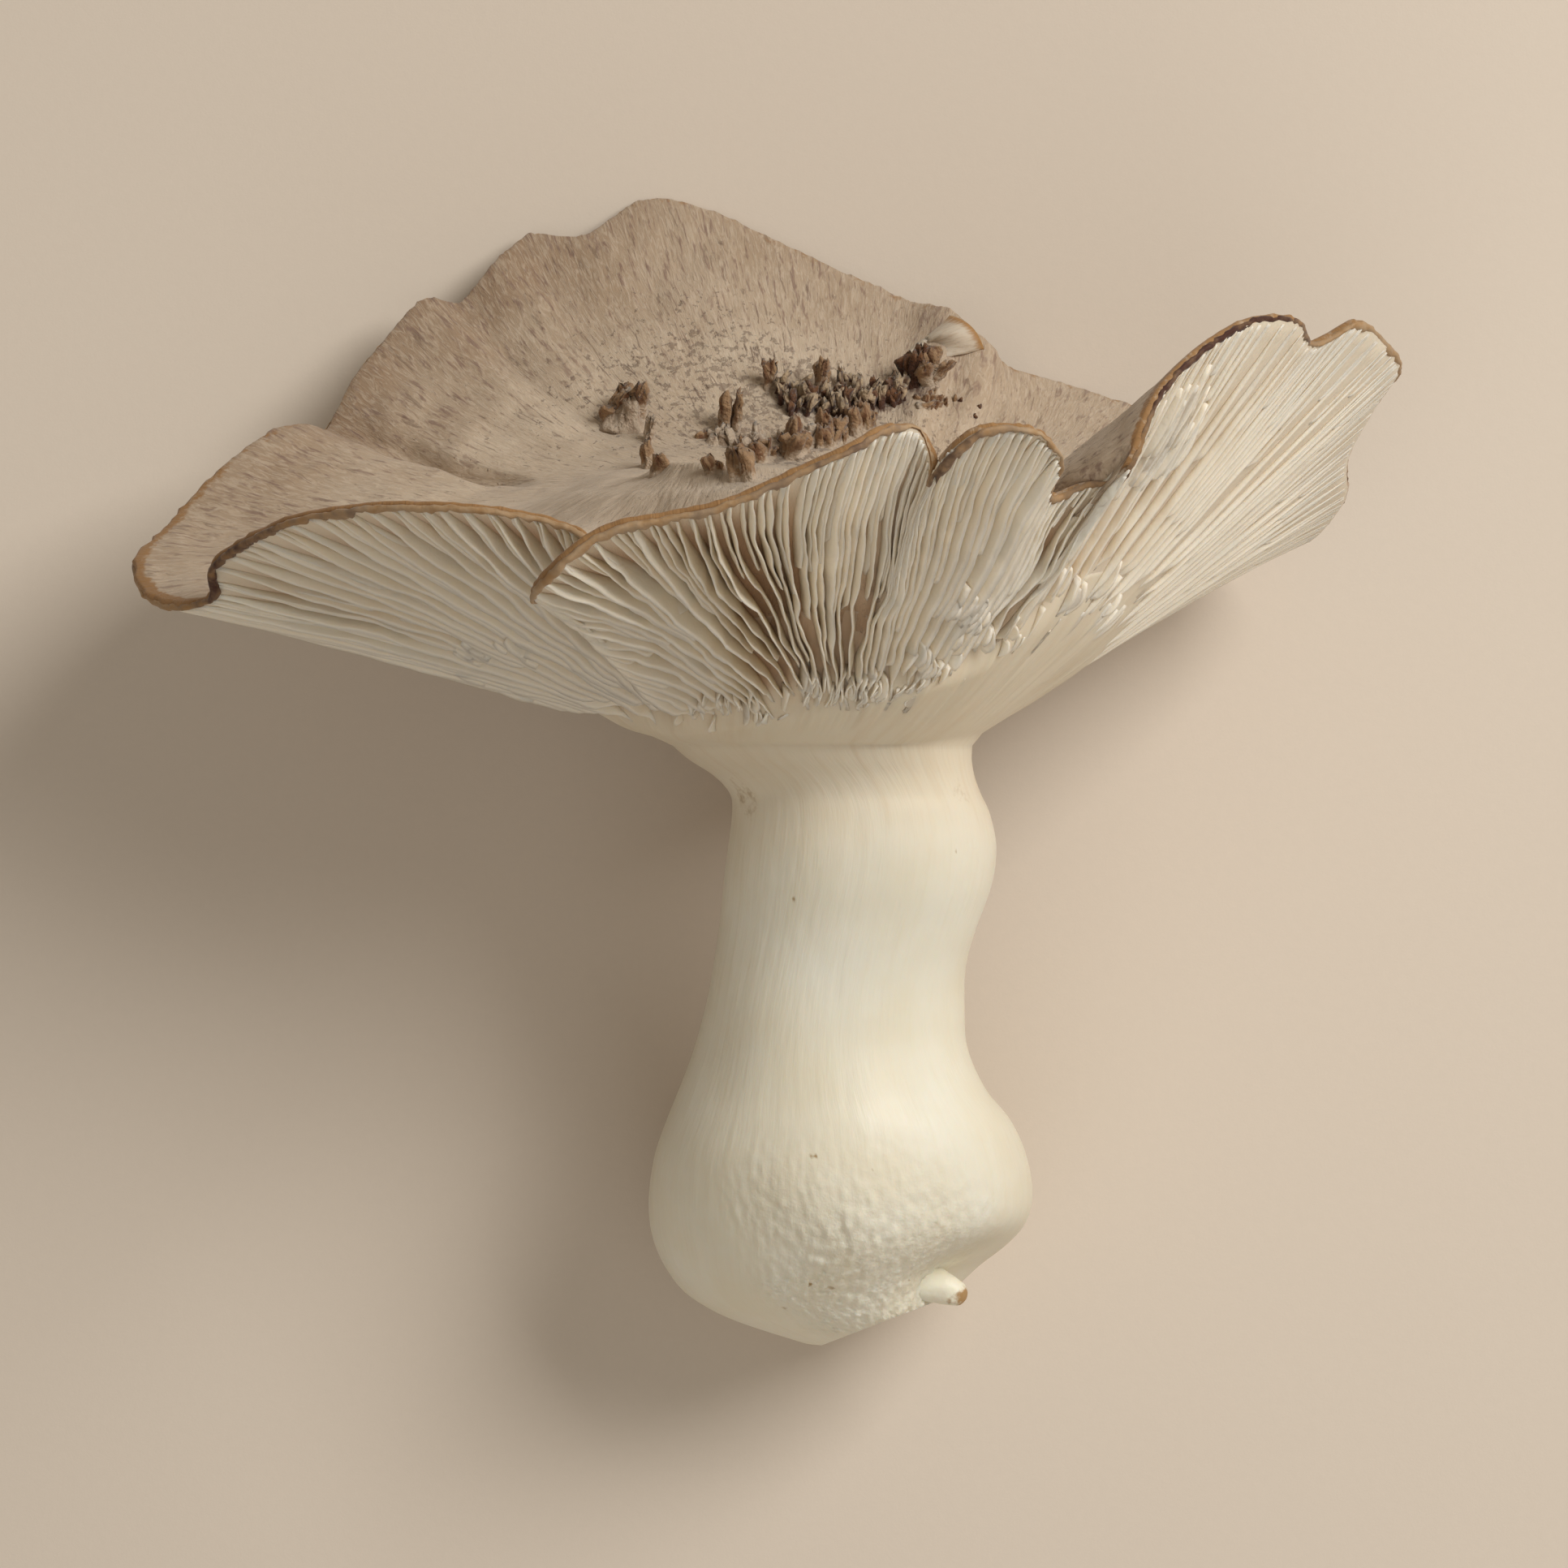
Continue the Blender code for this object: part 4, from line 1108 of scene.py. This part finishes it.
def scrapRows(bed):
    # Torn and crumpled bits of gill that stand up from the gill side.
    surface = surfaceTree(bed)
    columns = round(380 / gillField["bedStep"])
    chance = random.Random(gills["scrapSeed"])
    rows = []
    for px, py, wide, high, count, length, stand, swing in gills["scraps"]:
        for _ in range(count):
            eye, way = sightLine(px + chance.uniform(-wide, wide), py + chance.uniform(-high, high))
            face = surface.ray_cast(eye, way)[2]
            if face is None:
                continue
            middle = (face // columns + 0.5) / (gillField["bedRows"] - 1)
            half = length * chance.uniform(0.3, 0.65)
            rows.append({
                "bearing": face % columns * gillField["bedStep"] - 10, "start": max(middle - half, 0.01),
                "finish": min(middle + half, 0.99), "tall": 0.9, "chance": chance.random(), "drift": 0.0,
                "swing": chance.uniform(-1, 1) * swing, "stand": chance.uniform(0.2, 1) * stand,
            })
    return rows


def gillRows(kind):
    # Gills spread along the margin, each a little off its place.
    chance = random.Random(kind["seed"])
    spots = spreadBearings(kind["count"])
    gaps = np.diff(np.concatenate([spots, [fullTurn]]))
    rows = []
    for spot, gap in zip(spots, gaps):
        bearing = spot + gap * (kind["offset"] + chance.uniform(-0.12, 0.12))
        field = course(gillField["rows"], np.array([bearing]))[0]
        start = field[0] + chance.uniform(*kind["start"])
        if start > gills["latestStart"]:
            continue
        rows.append({
            "bearing": bearing, "start": start, "finish": gills["finish"], "tall": chance.uniform(*kind["tall"]),
            "chance": chance.random(), "drift": field[4], "swing": chance.uniform(-1, 1) * gills["swing"],
        })
    return rows


def buildGills():
    tree = makeBladeTree()
    material = gillMaterial()
    bed = buildBed()
    growGills("gillScraps", scrapRows(bed), gills["scrapSegments"], bed, tree, material)
    for name, kind in gills["pieces"].items():
        growGills(name, gillRows(kind), kind["segments"], bed, tree, material)
    bpy.data.objects.remove(bed)


buildGills()


# The margin: a thin ochre band along the cap's edge.
margin = {
    "steps": 1400,
    "sides": 8,
    "roughness": 0.00028,
    # Bearing, then the band's width, its thickness, how far it curls over the gills, in mm, and its redness.
    "rows": (
        (4, 0.5, 0.5, 0.0, 0.5), (13, 0.8, 0.7, 0.0, 0.4),
        (20, 0.9, 0.7, 0.0, 0.3), (27, 0.9, 0.7, 0.1, 0.45),
        (33, 0.7, 0.6, 0.0, 0.7), (41, 0.9, 0.7, 0.0, 0.95),
        (50, 0.8, 0.6, 0.0, 0.7), (58, 0.9, 0.7, 0.1, 0.6),
        (66, 0.8, 0.7, 0.0, 0.35), (74, 0.5, 0.6, 0.1, 0.2),
        (78, 0.6, 0.6, 0.1, 0.4), (83, 1.7, 0.8, 0.3, 0.6),
        (86, 2.7, 1.0, 0.6, 0.6), (89, 1.8, 0.9, 0.3, 0.5),
        (91, 0.5, 0.5, 0.0, 0.2), (96, 0.3, 0.5, 0.0, 0.1),
        (99, 0.8, 0.7, 0.0, 0.4), (104, 0.9, 0.7, 0.1, 0.55),
        (120, 0.9, 0.7, 0.1, 0.4), (135, 1.1, 0.8, 0.2, 0.3),
        (142, 1.0, 0.8, 0.1, 0.25), (150, 0.7, 0.7, 0.0, 0.15),
        (160, 0.9, 0.7, 0.1, 0.3), (167, 1.0, 0.8, 0.3, 0.65),
        (173, 1.1, 0.9, 0.3, 0.85), (177, 0.8, 0.8, 0.1, 0.6),
        (184, 0.8, 0.7, 0.1, 0.4), (189, 1.2, 0.9, 0.2, 0.9),
        (195, 0.7, 0.7, 0.0, 0.5), (205, 0.3, 0.5, 0.0, 0.3),
        (240, 0.3, 0.5, 0.0, 0.2), (300, 0.35, 0.5, 0.0, 0.3),
        (340, 0.4, 0.5, 0.0, 0.4),
    ),
    "ochre": (0.34, 0.185, 0.07),
    "tan": (0.47, 0.335, 0.205),
    "redBrown": (0.06, 0.019, 0.010),
}


def marginMaterial():
    material, tree, shader = newMaterial("marginBand", 0.05, 0.1, 0.3)
    parts = put(tree, "ShaderNodeSeparateXYZ", {0: attributeOf(tree, "tone", "Vector")}).outputs
    patches = grouped(tree, mottleGroup, Scale=260.0, Detail=4.0)[0]
    colour = blend(tree, patches, margin["ochre"], margin["tan"])
    ragged = timesPlus(tree, patches, 0.5, minus(tree, parts[1], 0.25))
    colour = blend(tree, ramp(tree, ragged, 0.3, 1.0), colour, margin["redBrown"])
    finishShader(tree, shader, colour, ramp(tree, patches, 0.0, 1.0, 0.5, 0.75), patches, 0.4, 0.0003)
    return material


def makeBandTree():
    # A band that follows a closed row of guide points, with its section given by two vectors on each.
    inputs = [
        ("Steps", "NodeSocketInt", 1000), ("Sides", "NodeSocketInt", 8), ("Roughness", "NodeSocketFloat", 0.0003),
    ]
    tree, given, out = newGrowth("marginBand", inputs)
    sockets = {"Vertices": given["Sides"], "Side Segments": given["Steps"], "Radius": 1.0, "Depth": 1.0}
    tube = put(tree, "GeometryNodeMeshCylinder", sockets, fill_type="NONE").outputs["Mesh"]
    spot = put(tree, "ShaderNodeSeparateXYZ", {0: put(tree, "GeometryNodeInputPosition").outputs[0]}).outputs
    along = times(tree, plus(tree, spot[2], 0.5), given["Steps"])
    step = calc(tree, "MODULO", calc(tree, "ROUND", along), given["Steps"])

    def sampled(value, kind="FLOAT_VECTOR"):
        sockets = {0: given["Geometry"], 1: value, 2: step}
        return put(tree, "GeometryNodeSampleIndex", sockets, data_type=kind, domain="POINT").outputs[0]

    middle = sampled(put(tree, "GeometryNodeInputPosition").outputs[0])
    wide = stretch(tree, sampled(named(tree, "wide", "FLOAT_VECTOR")), spot[0])
    thick = stretch(tree, sampled(named(tree, "thick", "FLOAT_VECTOR")), spot[1])
    target = joined(tree, joined(tree, middle, wide), thick)
    lumps = put(tree, "ShaderNodeTexNoise", {"Vector": target, "Scale": 900.0, "Detail": 3.0}).outputs["Color"]
    lumps = stretch(tree, aim(tree, "SUBTRACT", lumps, (0.5, 0.5, 0.5)), times(tree, given["Roughness"], 2.0))
    red = sampled(named(tree, "red"), "FLOAT")
    tone = put(tree, "ShaderNodeCombineXYZ", {0: spot[0], 1: red, 2: spot[1]}).outputs[0]
    toned = stored(tree, tube, "tone", tone)
    sockets = {"Geometry": toned, "Position": target, "Offset": lumps}
    placed = put(tree, "GeometryNodeSetPosition", sockets).outputs[0]
    closed = put(tree, "GeometryNodeMergeByDistance", {"Geometry": placed, "Distance": 1e-6}).outputs[0]
    return handOut(tree, given, out, closed)


def buildMargin():
    bearings = spreadBearings(margin["steps"])
    rows = course(margin["rows"], bearings)
    out, along, _ = (part[0] for part in sheetFrames(bearings, np.array([0.99])))
    edge = course(marginRows, bearings)
    width, thickness, over, red = rows.T[:, :, None]
    width = width * (1 + 0.6 * noiseAt(edge, 0.5, 3.0) + 0.6 * noiseAt(edge, 1.5, 6.0))[:, None]
    over = over + 0.12 * noiseAt(edge, 0.9, 12.0)[:, None]
    middle = edge - along * (width / 2 - 0.45) - out * (0.55 - over - thickness / 4)
    fields = {
        "wide": turned(along * width / 2),
        "thick": turned(out * thickness / 2),
        "red": red[:, 0],
    }
    guides = newMesh("marginGuides", laid(middle), attributes=fields)
    values = {
        "Steps": margin["steps"], "Sides": margin["sides"], "Roughness": margin["roughness"],
        "Material": marginMaterial(),
    }
    finishPiece(grow("marginBand", guides, makeBandTree(), values))


buildMargin()


# The scales: torn, grooved columns of dried skin that stand on woolly feet.
scales = {
    "roughness": 0.0006,
    "sunk": 0.8,  # millimetres below the skin
    "highest": 85.0,  # millimetres above the floor: the near rim stands higher and carries none
    "seed": 21,
    # Pixel of the photograph and spread in pixels, then how many, their height and girth in mm, their flare
    # and foot, and their kind: 0 pale with a brown top, 1 dark with a pale top, 2 dark all over, 3 pale wool.
    "pieces": {
        "scalesTall": {"sides": 18, "segments": 12, "clumps": (
            (764, 519, 3, 2, 2, 5.0, 1.6, 0.3, 0.9, 0), (752, 520, 2, 2, 1, 4.0, 0.9, 0.4, 0.6, 0),
            (784, 518, 3, 2, 2, 4.8, 1.2, 0.6, 0.7, 0), (770, 522, 4, 2, 2, 3.2, 1.9, 0.0, 0.8, 3),
            (800, 545, 3, 3, 2, 2.4, 0.9, 0.1, 0.7, 3), (803, 577, 3, 2, 2, 3.0, 1.3, 0.0, 0.8, 0),
            (814, 580, 3, 2, 1, 2.0, 1.1, 0.0, 0.8, 0), (887, 533, 3, 2, 1, 3.8, 1.3, 0.5, 0.6, 0),
            (905, 532, 3, 2, 2, 4.0, 0.9, 0.4, 0.6, 0), (880, 583, 3, 2, 2, 2.2, 1.0, 0.0, 0.8, 0),
            (908, 592, 3, 2, 2, 3.6, 1.1, 0.3, 0.6, 0), (920, 588, 3, 2, 2, 3.6, 1.1, 0.3, 0.6, 0),
            (951, 478, 1, 1, 2, 3.6, 0.8, 0.6, 0.7, 0), (1009, 484, 1, 1, 2, 4.2, 0.8, 0.7, 0.6, 0),
            (1128, 474, 4, 4, 5, 3.8, 0.9, 0.7, 0.5, 2), (1146, 470, 5, 4, 5, 3.8, 0.9, 0.8, 0.5, 0),
            (980, 556, 8, 5, 8, 3.2, 1.3, 0.3, 0.7, 0), (1018, 547, 12, 5, 9, 3.1, 1.3, 0.3, 0.7, 0),
            (1064, 531, 12, 5, 8, 2.8, 1.1, 0.3, 0.7, 0),
        )},
        "scalesSmall": {"sides": 9, "segments": 5, "clumps": (
            (896, 545, 16, 5, 6, 1.5, 1.0, 0.2, 1.0, 3), (872, 540, 6, 3, 3, 1.0, 0.7, 0.2, 0.8, 0),
            (925, 552, 22, 8, 12, 1.8, 0.9, 0.3, 0.9, 3), (938, 560, 20, 8, 9, 2.0, 0.8, 0.4, 0.6, 0),
            (968, 492, 10, 8, 6, 2.4, 0.7, 0.5, 0.5, 1), (990, 504, 14, 10, 13, 2.6, 0.6, 0.6, 0.4, 1),
            (1030, 506, 18, 12, 18, 2.6, 0.6, 0.6, 0.4, 1), (1070, 500, 18, 12, 18, 2.6, 0.6, 0.6, 0.4, 1),
            (1105, 492, 14, 12, 12, 2.5, 0.6, 0.6, 0.4, 1), (1000, 500, 22, 10, 12, 2.2, 0.6, 0.6, 0.4, 2),
            (1050, 500, 30, 10, 18, 2.3, 0.6, 0.6, 0.4, 2), (1100, 495, 16, 9, 8, 2.3, 0.6, 0.6, 0.4, 2),
            (1050, 482, 24, 5, 6, 2.2, 0.6, 0.4, 0.4, 1), (1148, 495, 14, 7, 9, 1.1, 0.6, 0.1, 0.8, 0),
            (1000, 548, 30, 9, 14, 1.8, 0.9, 0.2, 0.8, 3), (1040, 543, 24, 7, 8, 2.0, 0.8, 0.4, 0.6, 0),
            (1165, 500, 14, 6, 8, 0.8, 0.6, 0.0, 0.8, 0), (1195, 500, 20, 10, 3, 0.5, 0.6, 0.0, 0.8, 2),
        )},
    },
    "wool": (0.56, 0.445, 0.325),
    "brown": (0.175, 0.08, 0.035),
    "tan": (0.42, 0.27, 0.145),
    "dark": (0.062, 0.022, 0.010),
    "cream": (0.52, 0.385, 0.24),
}


def scaleMaterial():
    material, tree, shader = newMaterial("scaleClumps", 0.05, 0.2, 0.25)
    parts = put(tree, "ShaderNodeSeparateXYZ", {0: attributeOf(tree, "tone", "Vector")}).outputs
    height, kind, groove = parts[0], parts[1], parts[2]
    ragged = grouped(tree, mottleGroup, Scale=700.0, Detail=4.0)[0]
    level = timesPlus(tree, minus(tree, ragged, 0.5), 0.45, height)
    # Painted shade: the grooves of the columns are darkened; the brown tops are the scales' own colour.
    grooveShade = ramp(tree, groove, 0.56, 0.40)
    tops = blend(tree, ramp(tree, level, 0.28, 0.6), scales["wool"], scales["tan"])
    shaded = times(tree, ramp(tree, level, 0.3, 0.65), timesPlus(tree, grooveShade, 0.75, 0.25))
    tops = blend(tree, shaded, tops, scales["brown"])
    pale = blend(tree, ramp(tree, level, 0.5, 0.8), scales["dark"], scales["cream"])
    pale = blend(tree, times(tree, grooveShade, 0.85), pale, scales["dark"])
    burnt = blend(tree, ramp(tree, level, 0.75, 1.05), scales["dark"], scales["brown"])
    woolly = blend(tree, times(tree, grooveShade, 0.35), scales["wool"], scales["brown"])
    colour = blend(tree, ramp(tree, kind, 0.4, 0.6), tops, pale)
    colour = blend(tree, ramp(tree, kind, 1.4, 1.6), colour, burnt)
    colour = blend(tree, ramp(tree, kind, 2.4, 2.6), colour, woolly)
    veins = grouped(tree, mottleGroup, Scale=1500.0)[0]
    colour = blend(tree, times(tree, veins, 0.25), colour, scales["brown"])
    finishShader(tree, shader, colour, ramp(tree, ragged, 0.0, 1.0, 0.65, 0.85), ragged, 0.6, 0.0005)
    return material


def makeScaleTree():
    # Short grooved columns, wide at the foot, waisted, flared again and torn off unevenly at the top.
    inputs = [
        ("Sides", "NodeSocketInt", 9), ("Segments", "NodeSocketInt", 8), ("Roughness", "NodeSocketFloat", 0.0008),
        ("Seed", "NodeSocketInt", 1),
    ]
    tree, given, out = newGrowth("scaleColumns", inputs)
    sockets = {
        "Vertices": given["Sides"], "Side Segments": given["Segments"], "Fill Segments": 1,
        "Radius": 1.0, "Depth": 1.0,
    }
    column = put(tree, "GeometryNodeMeshCylinder", sockets, fill_type="TRIANGLE_FAN").outputs["Mesh"]
    columns, spot = spreadCopies(tree, given, column)
    along = plus(tree, spot[2], 0.5)
    chance = named(tree, "chance")

    def roundNoise(spread, apart, steps):
        across = timesPlus(tree, chance, apart, times(tree, spot[0], spread))
        sockets = {0: across, 1: times(tree, spot[1], spread), 2: times(tree, along, steps)}
        where = put(tree, "ShaderNodeCombineXYZ", sockets).outputs[0]
        return put(tree, "ShaderNodeTexNoise", {"Vector": where, "Scale": 1.0, "Detail": 2.0}).outputs[0]

    groove = roundNoise(1.9, 60.0, 0.7)
    torn = roundNoise(1.6, 91.0, 0.0)
    foot = times(tree, power(tree, minus(tree, 1.0, along), 2.6), named(tree, "base"))
    top = times(tree, power(tree, along, 2.0), named(tree, "flare"))
    round = minus(tree, 1.0, power(tree, along, 9.0))
    width = plus(tree, plus(tree, foot, top), 0.55)
    width = times(tree, width, timesPlus(tree, round, 0.4, 0.6))
    carved = ramp(tree, groove, 0.3, 0.7, -0.5, 0.5, smooth=False)
    carved = times(tree, carved, ramp(tree, along, 0.05, 0.6, 0.15, 1.0))
    width = times(tree, width, plus(tree, carved, 1.0))
    rise = times(tree, minus(tree, torn, 0.56), power(tree, along, 2.0))
    up = stretch(tree, named(tree, "up", "FLOAT_VECTOR"), timesPlus(tree, rise, 1.1, along))
    bend = stretch(tree, named(tree, "bend", "FLOAT_VECTOR"), power(tree, along, 2.0))
    aside = stretch(tree, named(tree, "sideA", "FLOAT_VECTOR"), times(tree, spot[0], width))
    ahead = stretch(tree, named(tree, "sideB", "FLOAT_VECTOR"), times(tree, spot[1], width))
    target = joined(tree, named(tree, "foot", "FLOAT_VECTOR"), up)
    for part in (bend, aside, ahead):
        target = joined(tree, target, part)
    shift = put(tree, "ShaderNodeCombineXYZ", {0: given["Seed"], 1: 0.0, 2: 0.0}).outputs[0]
    where = joined(tree, stretch(tree, target, 750.0), shift)
    sockets = {"Vector": where, "Scale": 1.0, "Detail": 3.0, "Roughness": 0.6}
    rough = put(tree, "ShaderNodeTexNoise", sockets).outputs["Color"]
    rough = aim(tree, "SUBTRACT", rough, (0.5, 0.5, 0.5))
    rough = stretch(tree, rough, times(tree, given["Roughness"], timesPlus(tree, along, 1.6, 0.8)))
    sockets = {"Geometry": columns, "Position": target, "Offset": rough}
    placed = put(tree, "GeometryNodeSetPosition", sockets).outputs[0]
    tone = put(tree, "ShaderNodeCombineXYZ", {0: along, 1: named(tree, "kind"), 2: groove}).outputs[0]
    toned = stored(tree, placed, "tone", tone)
    return handOut(tree, given, out, toned)


def scaleFields(clumps, chance):
    # One guide point's foot, height, sides and finish for each scale of the clumps.
    fields = {key: [] for key in ("foot", "up", "bend", "sideA", "sideB", "flare", "base", "kind", "chance")}
    upward = (toRest.to_3x3() @ Vector((0, 1, 0))).normalized()
    for px, py, wide, high, count, tall, girth, flare, base, kind in clumps:
        for _ in range(count):
            pixel = (px + chance.gauss(0, 0.6) * wide, py + chance.gauss(0, 0.6) * high)
            place, normal = seenAt(capTree, *pixel)
            if place is None or place.z > scales["highest"] * mm:
                continue
            lean = Vector([chance.uniform(-0.3, 0.3) for _ in range(3)])
            up = (normal + upward * 0.55 + lean).normalized()
            size = chance.uniform(0.6, 1.15)
            thick = girth * chance.uniform(0.7, 1.2) * mm
            sideA = up.orthogonal().normalized()
            sideB = up.cross(sideA)
            turn = chance.uniform(0, math.pi)
            first = sideA * math.cos(turn) + sideB * math.sin(turn)
            second = sideB * math.cos(turn) - sideA * math.sin(turn)
            fields["foot"].append(place - normal * scales["sunk"] * mm)
            fields["up"].append(up * (tall * size + scales["sunk"]) * mm)
            fields["bend"].append(Vector([chance.uniform(-1, 1) for _ in range(3)]) * tall * 0.25 * mm)
            fields["sideA"].append(first * thick * chance.uniform(0.8, 1.3))
            fields["sideB"].append(second * thick * chance.uniform(0.5, 0.9))
            fields["flare"].append(flare * chance.uniform(0.5, 1.5))
            fields["base"].append(base * chance.uniform(0.7, 1.3))
            fields["kind"].append(float(kind))
            fields["chance"].append(chance.random())
    return {key: np.array(values, float) for key, values in fields.items()}


def buildScales():
    chance = random.Random(scales["seed"])
    tree, material = makeScaleTree(), scaleMaterial()
    for name, kind in scales["pieces"].items():
        fields = scaleFields(kind["clumps"], chance)
        guides = newMesh(name + "Guides", np.zeros((len(fields["kind"]), 3)), attributes=fields)
        values = {
            "Sides": kind["sides"], "Segments": kind["segments"], "Roughness": scales["roughness"],
            "Seed": scales["seed"], "Material": material,
        }
        finishPiece(grow(name, guides, tree, values))


buildScales()


# The folded tip: a corner of the far margin that curls up over the skin.
foldedTip = {
    "roots": ((1112, 447), (1140, 400), (1158, 442)),  # pixels on the skin, left to right
    "corners": ((12.0, 51.6, -38.6), (14.6, 50.6, -34.6), (15.8, 47.8, -36.6)),  # the free edge, in mm
    "rows": 22,
    "columns": 26,
    "bulge": 1.6,
    "thickness": 0.7,
    "pale": (0.62, 0.52, 0.40),
    "shaded": (0.40, 0.29, 0.19),
    "ochre": (0.36, 0.19, 0.065),
}


def tipMaterial():
    material, tree, shader = newMaterial("foldedTip", 0.15, 0.1, 0.3)
    strands = grouped(tree, fibreGroup, Scale=1.6, Low=0.45, High=0.7)
    colour = blend(tree, times(tree, strands["Mask"], 0.5), foldedTip["pale"], foldedTip["shaded"])
    ragged = timesPlus(tree, strands["Height"], 0.25, attributeOf(tree, "along"))
    colour = blend(tree, ramp(tree, ragged, 0.92, 1.1), colour, foldedTip["ochre"])
    rough = ramp(tree, strands["Height"], 0.0, 1.0, 0.6, 0.75)
    finishShader(tree, shader, colour, rough, strands["Height"], 0.4, 0.0003)
    return material


def buildTip():
    rootA, rootB, rootC = (np.array(seenAt(capTree, *pixel)[0]) for pixel in foldedTip["roots"])
    cornerA, cornerB, cornerC = laid(np.array(foldedTip["corners"]))
    toEye = turned(np.array([0, 0, 1.0]))
    vertices, flow, along = [], [], []
    for row in np.linspace(0, 1, foldedTip["rows"]):
        for column in np.linspace(0, 1, foldedTip["columns"]):
            weights = ((1 - column) ** 2, 2 * column * (1 - column), column**2)
            root = weights[0] * rootA + weights[1] * rootB + weights[2] * rootC
            edge = weights[0] * cornerA + weights[1] * cornerB + weights[2] * cornerC
            lift = foldedTip["bulge"] * math.sin(math.pi * row) * math.sin(math.pi * column) - 0.9 * (1 - row)
            vertices.append(root * (1 - row) + edge * row + toEye * lift)
            flow.append((column * 9, 0, row * 2))
            along.append(row)
    faces = ringFaces(foldedTip["rows"], foldedTip["columns"], wrap=False)
    piece = newMesh("foldedTip", vertices, faces, tipMaterial(), {"flow": flow, "along": along})
    finishPiece(piece)
    solid = piece.modifiers.new("thickness", "SOLIDIFY")
    solid.thickness = foldedTip["thickness"] * mm
    solid.offset = 0


buildTip()


# The side shoot at the foot of the stem.
shoot = {
    "root": (4.0, -59.2, -13.0),
    "tip": (13.0, -60.9, -10.5),
    "bow": (0.0, 0.5, 0.5),
    "radii": ((0.0, 2.0), (0.2, 2.1), (0.45, 2.1), (0.7, 1.85), (0.88, 1.5), (0.97, 1.0), (1.0, 0.5)),
    "rings": 40,
    "sides": 36,
    "flesh": (0.85, 0.80, 0.64),
    "tipColour": (0.40, 0.24, 0.10),
}


def shootMaterial():
    material, tree, shader = newMaterial("sideShoot", 0.25, 0.0, 0.35)
    blotch = grouped(tree, mottleGroup, Scale=300.0)[0]
    worn = timesPlus(tree, blotch, 0.25, attributeOf(tree, "along"))
    colour = blend(tree, ramp(tree, worn, 0.98, 1.12), shoot["flesh"], shoot["tipColour"])
    finishShader(tree, shader, colour, ramp(tree, blotch, 0.0, 1.0, 0.45, 0.6), blotch, 0.2, 0.0003)
    return material


def buildShoot():
    root, tip = Vector(shoot["root"]), Vector(shoot["tip"])
    axis = tip - root
    turn = axis.to_track_quat("Z", "Y")
    shares = np.linspace(0, 1, shoot["rings"])
    radii = course(shoot["radii"], shares, closed=False)[:, 0]
    rings = []
    for share, radius in zip(shares, radii):
        centre = root + axis * share + Vector(shoot["bow"]) * math.sin(math.pi * share)
        angles = [2 * math.pi * i / shoot["sides"] for i in range(shoot["sides"])]
        around = [Vector((radius * math.cos(a), radius * math.sin(a), 0)) for a in angles]
        ring = np.array([centre + turn @ point for point in around])
        rough = 0.22 * noiseAt(ring, 0.55, 2.0)[:, None]
        rings.append(ring + rough * unit(ring - ring.mean(axis=0)))
    vertices, faces = closedRings(rings, np.array(root), np.array(tip))
    along = np.concatenate([np.repeat(shares, shoot["sides"]), [0, 1]])
    finishPiece(newMesh("sideShoot", laid(vertices), faces, shootMaterial(), {"along": along}))


buildShoot()


# The floor and the light.
studio = {
    "floorSize": 3.0,
    "floorColour": (0.70, 0.60, 0.49),
    "keyPlace": (0.52, 0.34, 0.66),  # metres from the mushroom
    "keySize": 0.42,
    "keyPower": 6.0,
    "fillPlace": (-0.05, -0.55, 0.8),
    "fillSize": 1.0,
    "fillPower": 2.4,
    "sky": (1.0, 0.90, 0.76),
    "skyStrength": 0.22,
    "viewTransform": "Standard",
}


def floorMaterial():
    material, tree, shader = newMaterial("paleFloor", 0.0, 0.0, 0.2)
    grain = grouped(tree, mottleGroup, Scale=900.0)[0]
    tone = studio["floorColour"]
    colour = blend(tree, times(tree, grain, 0.12), tone, tuple(value * 0.9 for value in tone))
    finishShader(tree, shader, colour, ramp(tree, grain, 0.0, 1.0, 0.85, 0.95), grain, 0.05, 0.0002)
    return material


def addLight(name, place, size, power, target=(0, 0, 0.03)):
    data = bpy.data.lights.new(name, "AREA")
    data.size = size
    data.energy = power
    light = link(bpy.data.objects.new(name, data))
    light.location = place
    light.rotation_euler = (Vector(target) - Vector(place)).to_track_quat("-Z", "Y").to_euler()


half = studio["floorSize"] / 2
corners = [(-half, -half, 0), (half, -half, 0), (half, half, 0), (-half, half, 0)]
floor = newMesh("floor", corners, [[0, 1, 2, 3]], floorMaterial())
addLight("keyLight", studio["keyPlace"], studio["keySize"], studio["keyPower"])
addLight("fillLight", studio["fillPlace"], studio["fillSize"], studio["fillPower"])
world = bpy.data.worlds.new("studio")
world.use_nodes = True
world.node_tree.nodes["Background"].inputs[0].default_value = (*studio["sky"], 1)
world.node_tree.nodes["Background"].inputs[1].default_value = studio["skyStrength"]
scene.world = world
scene.view_settings.view_transform = studio["viewTransform"]
print("floor and light placed")
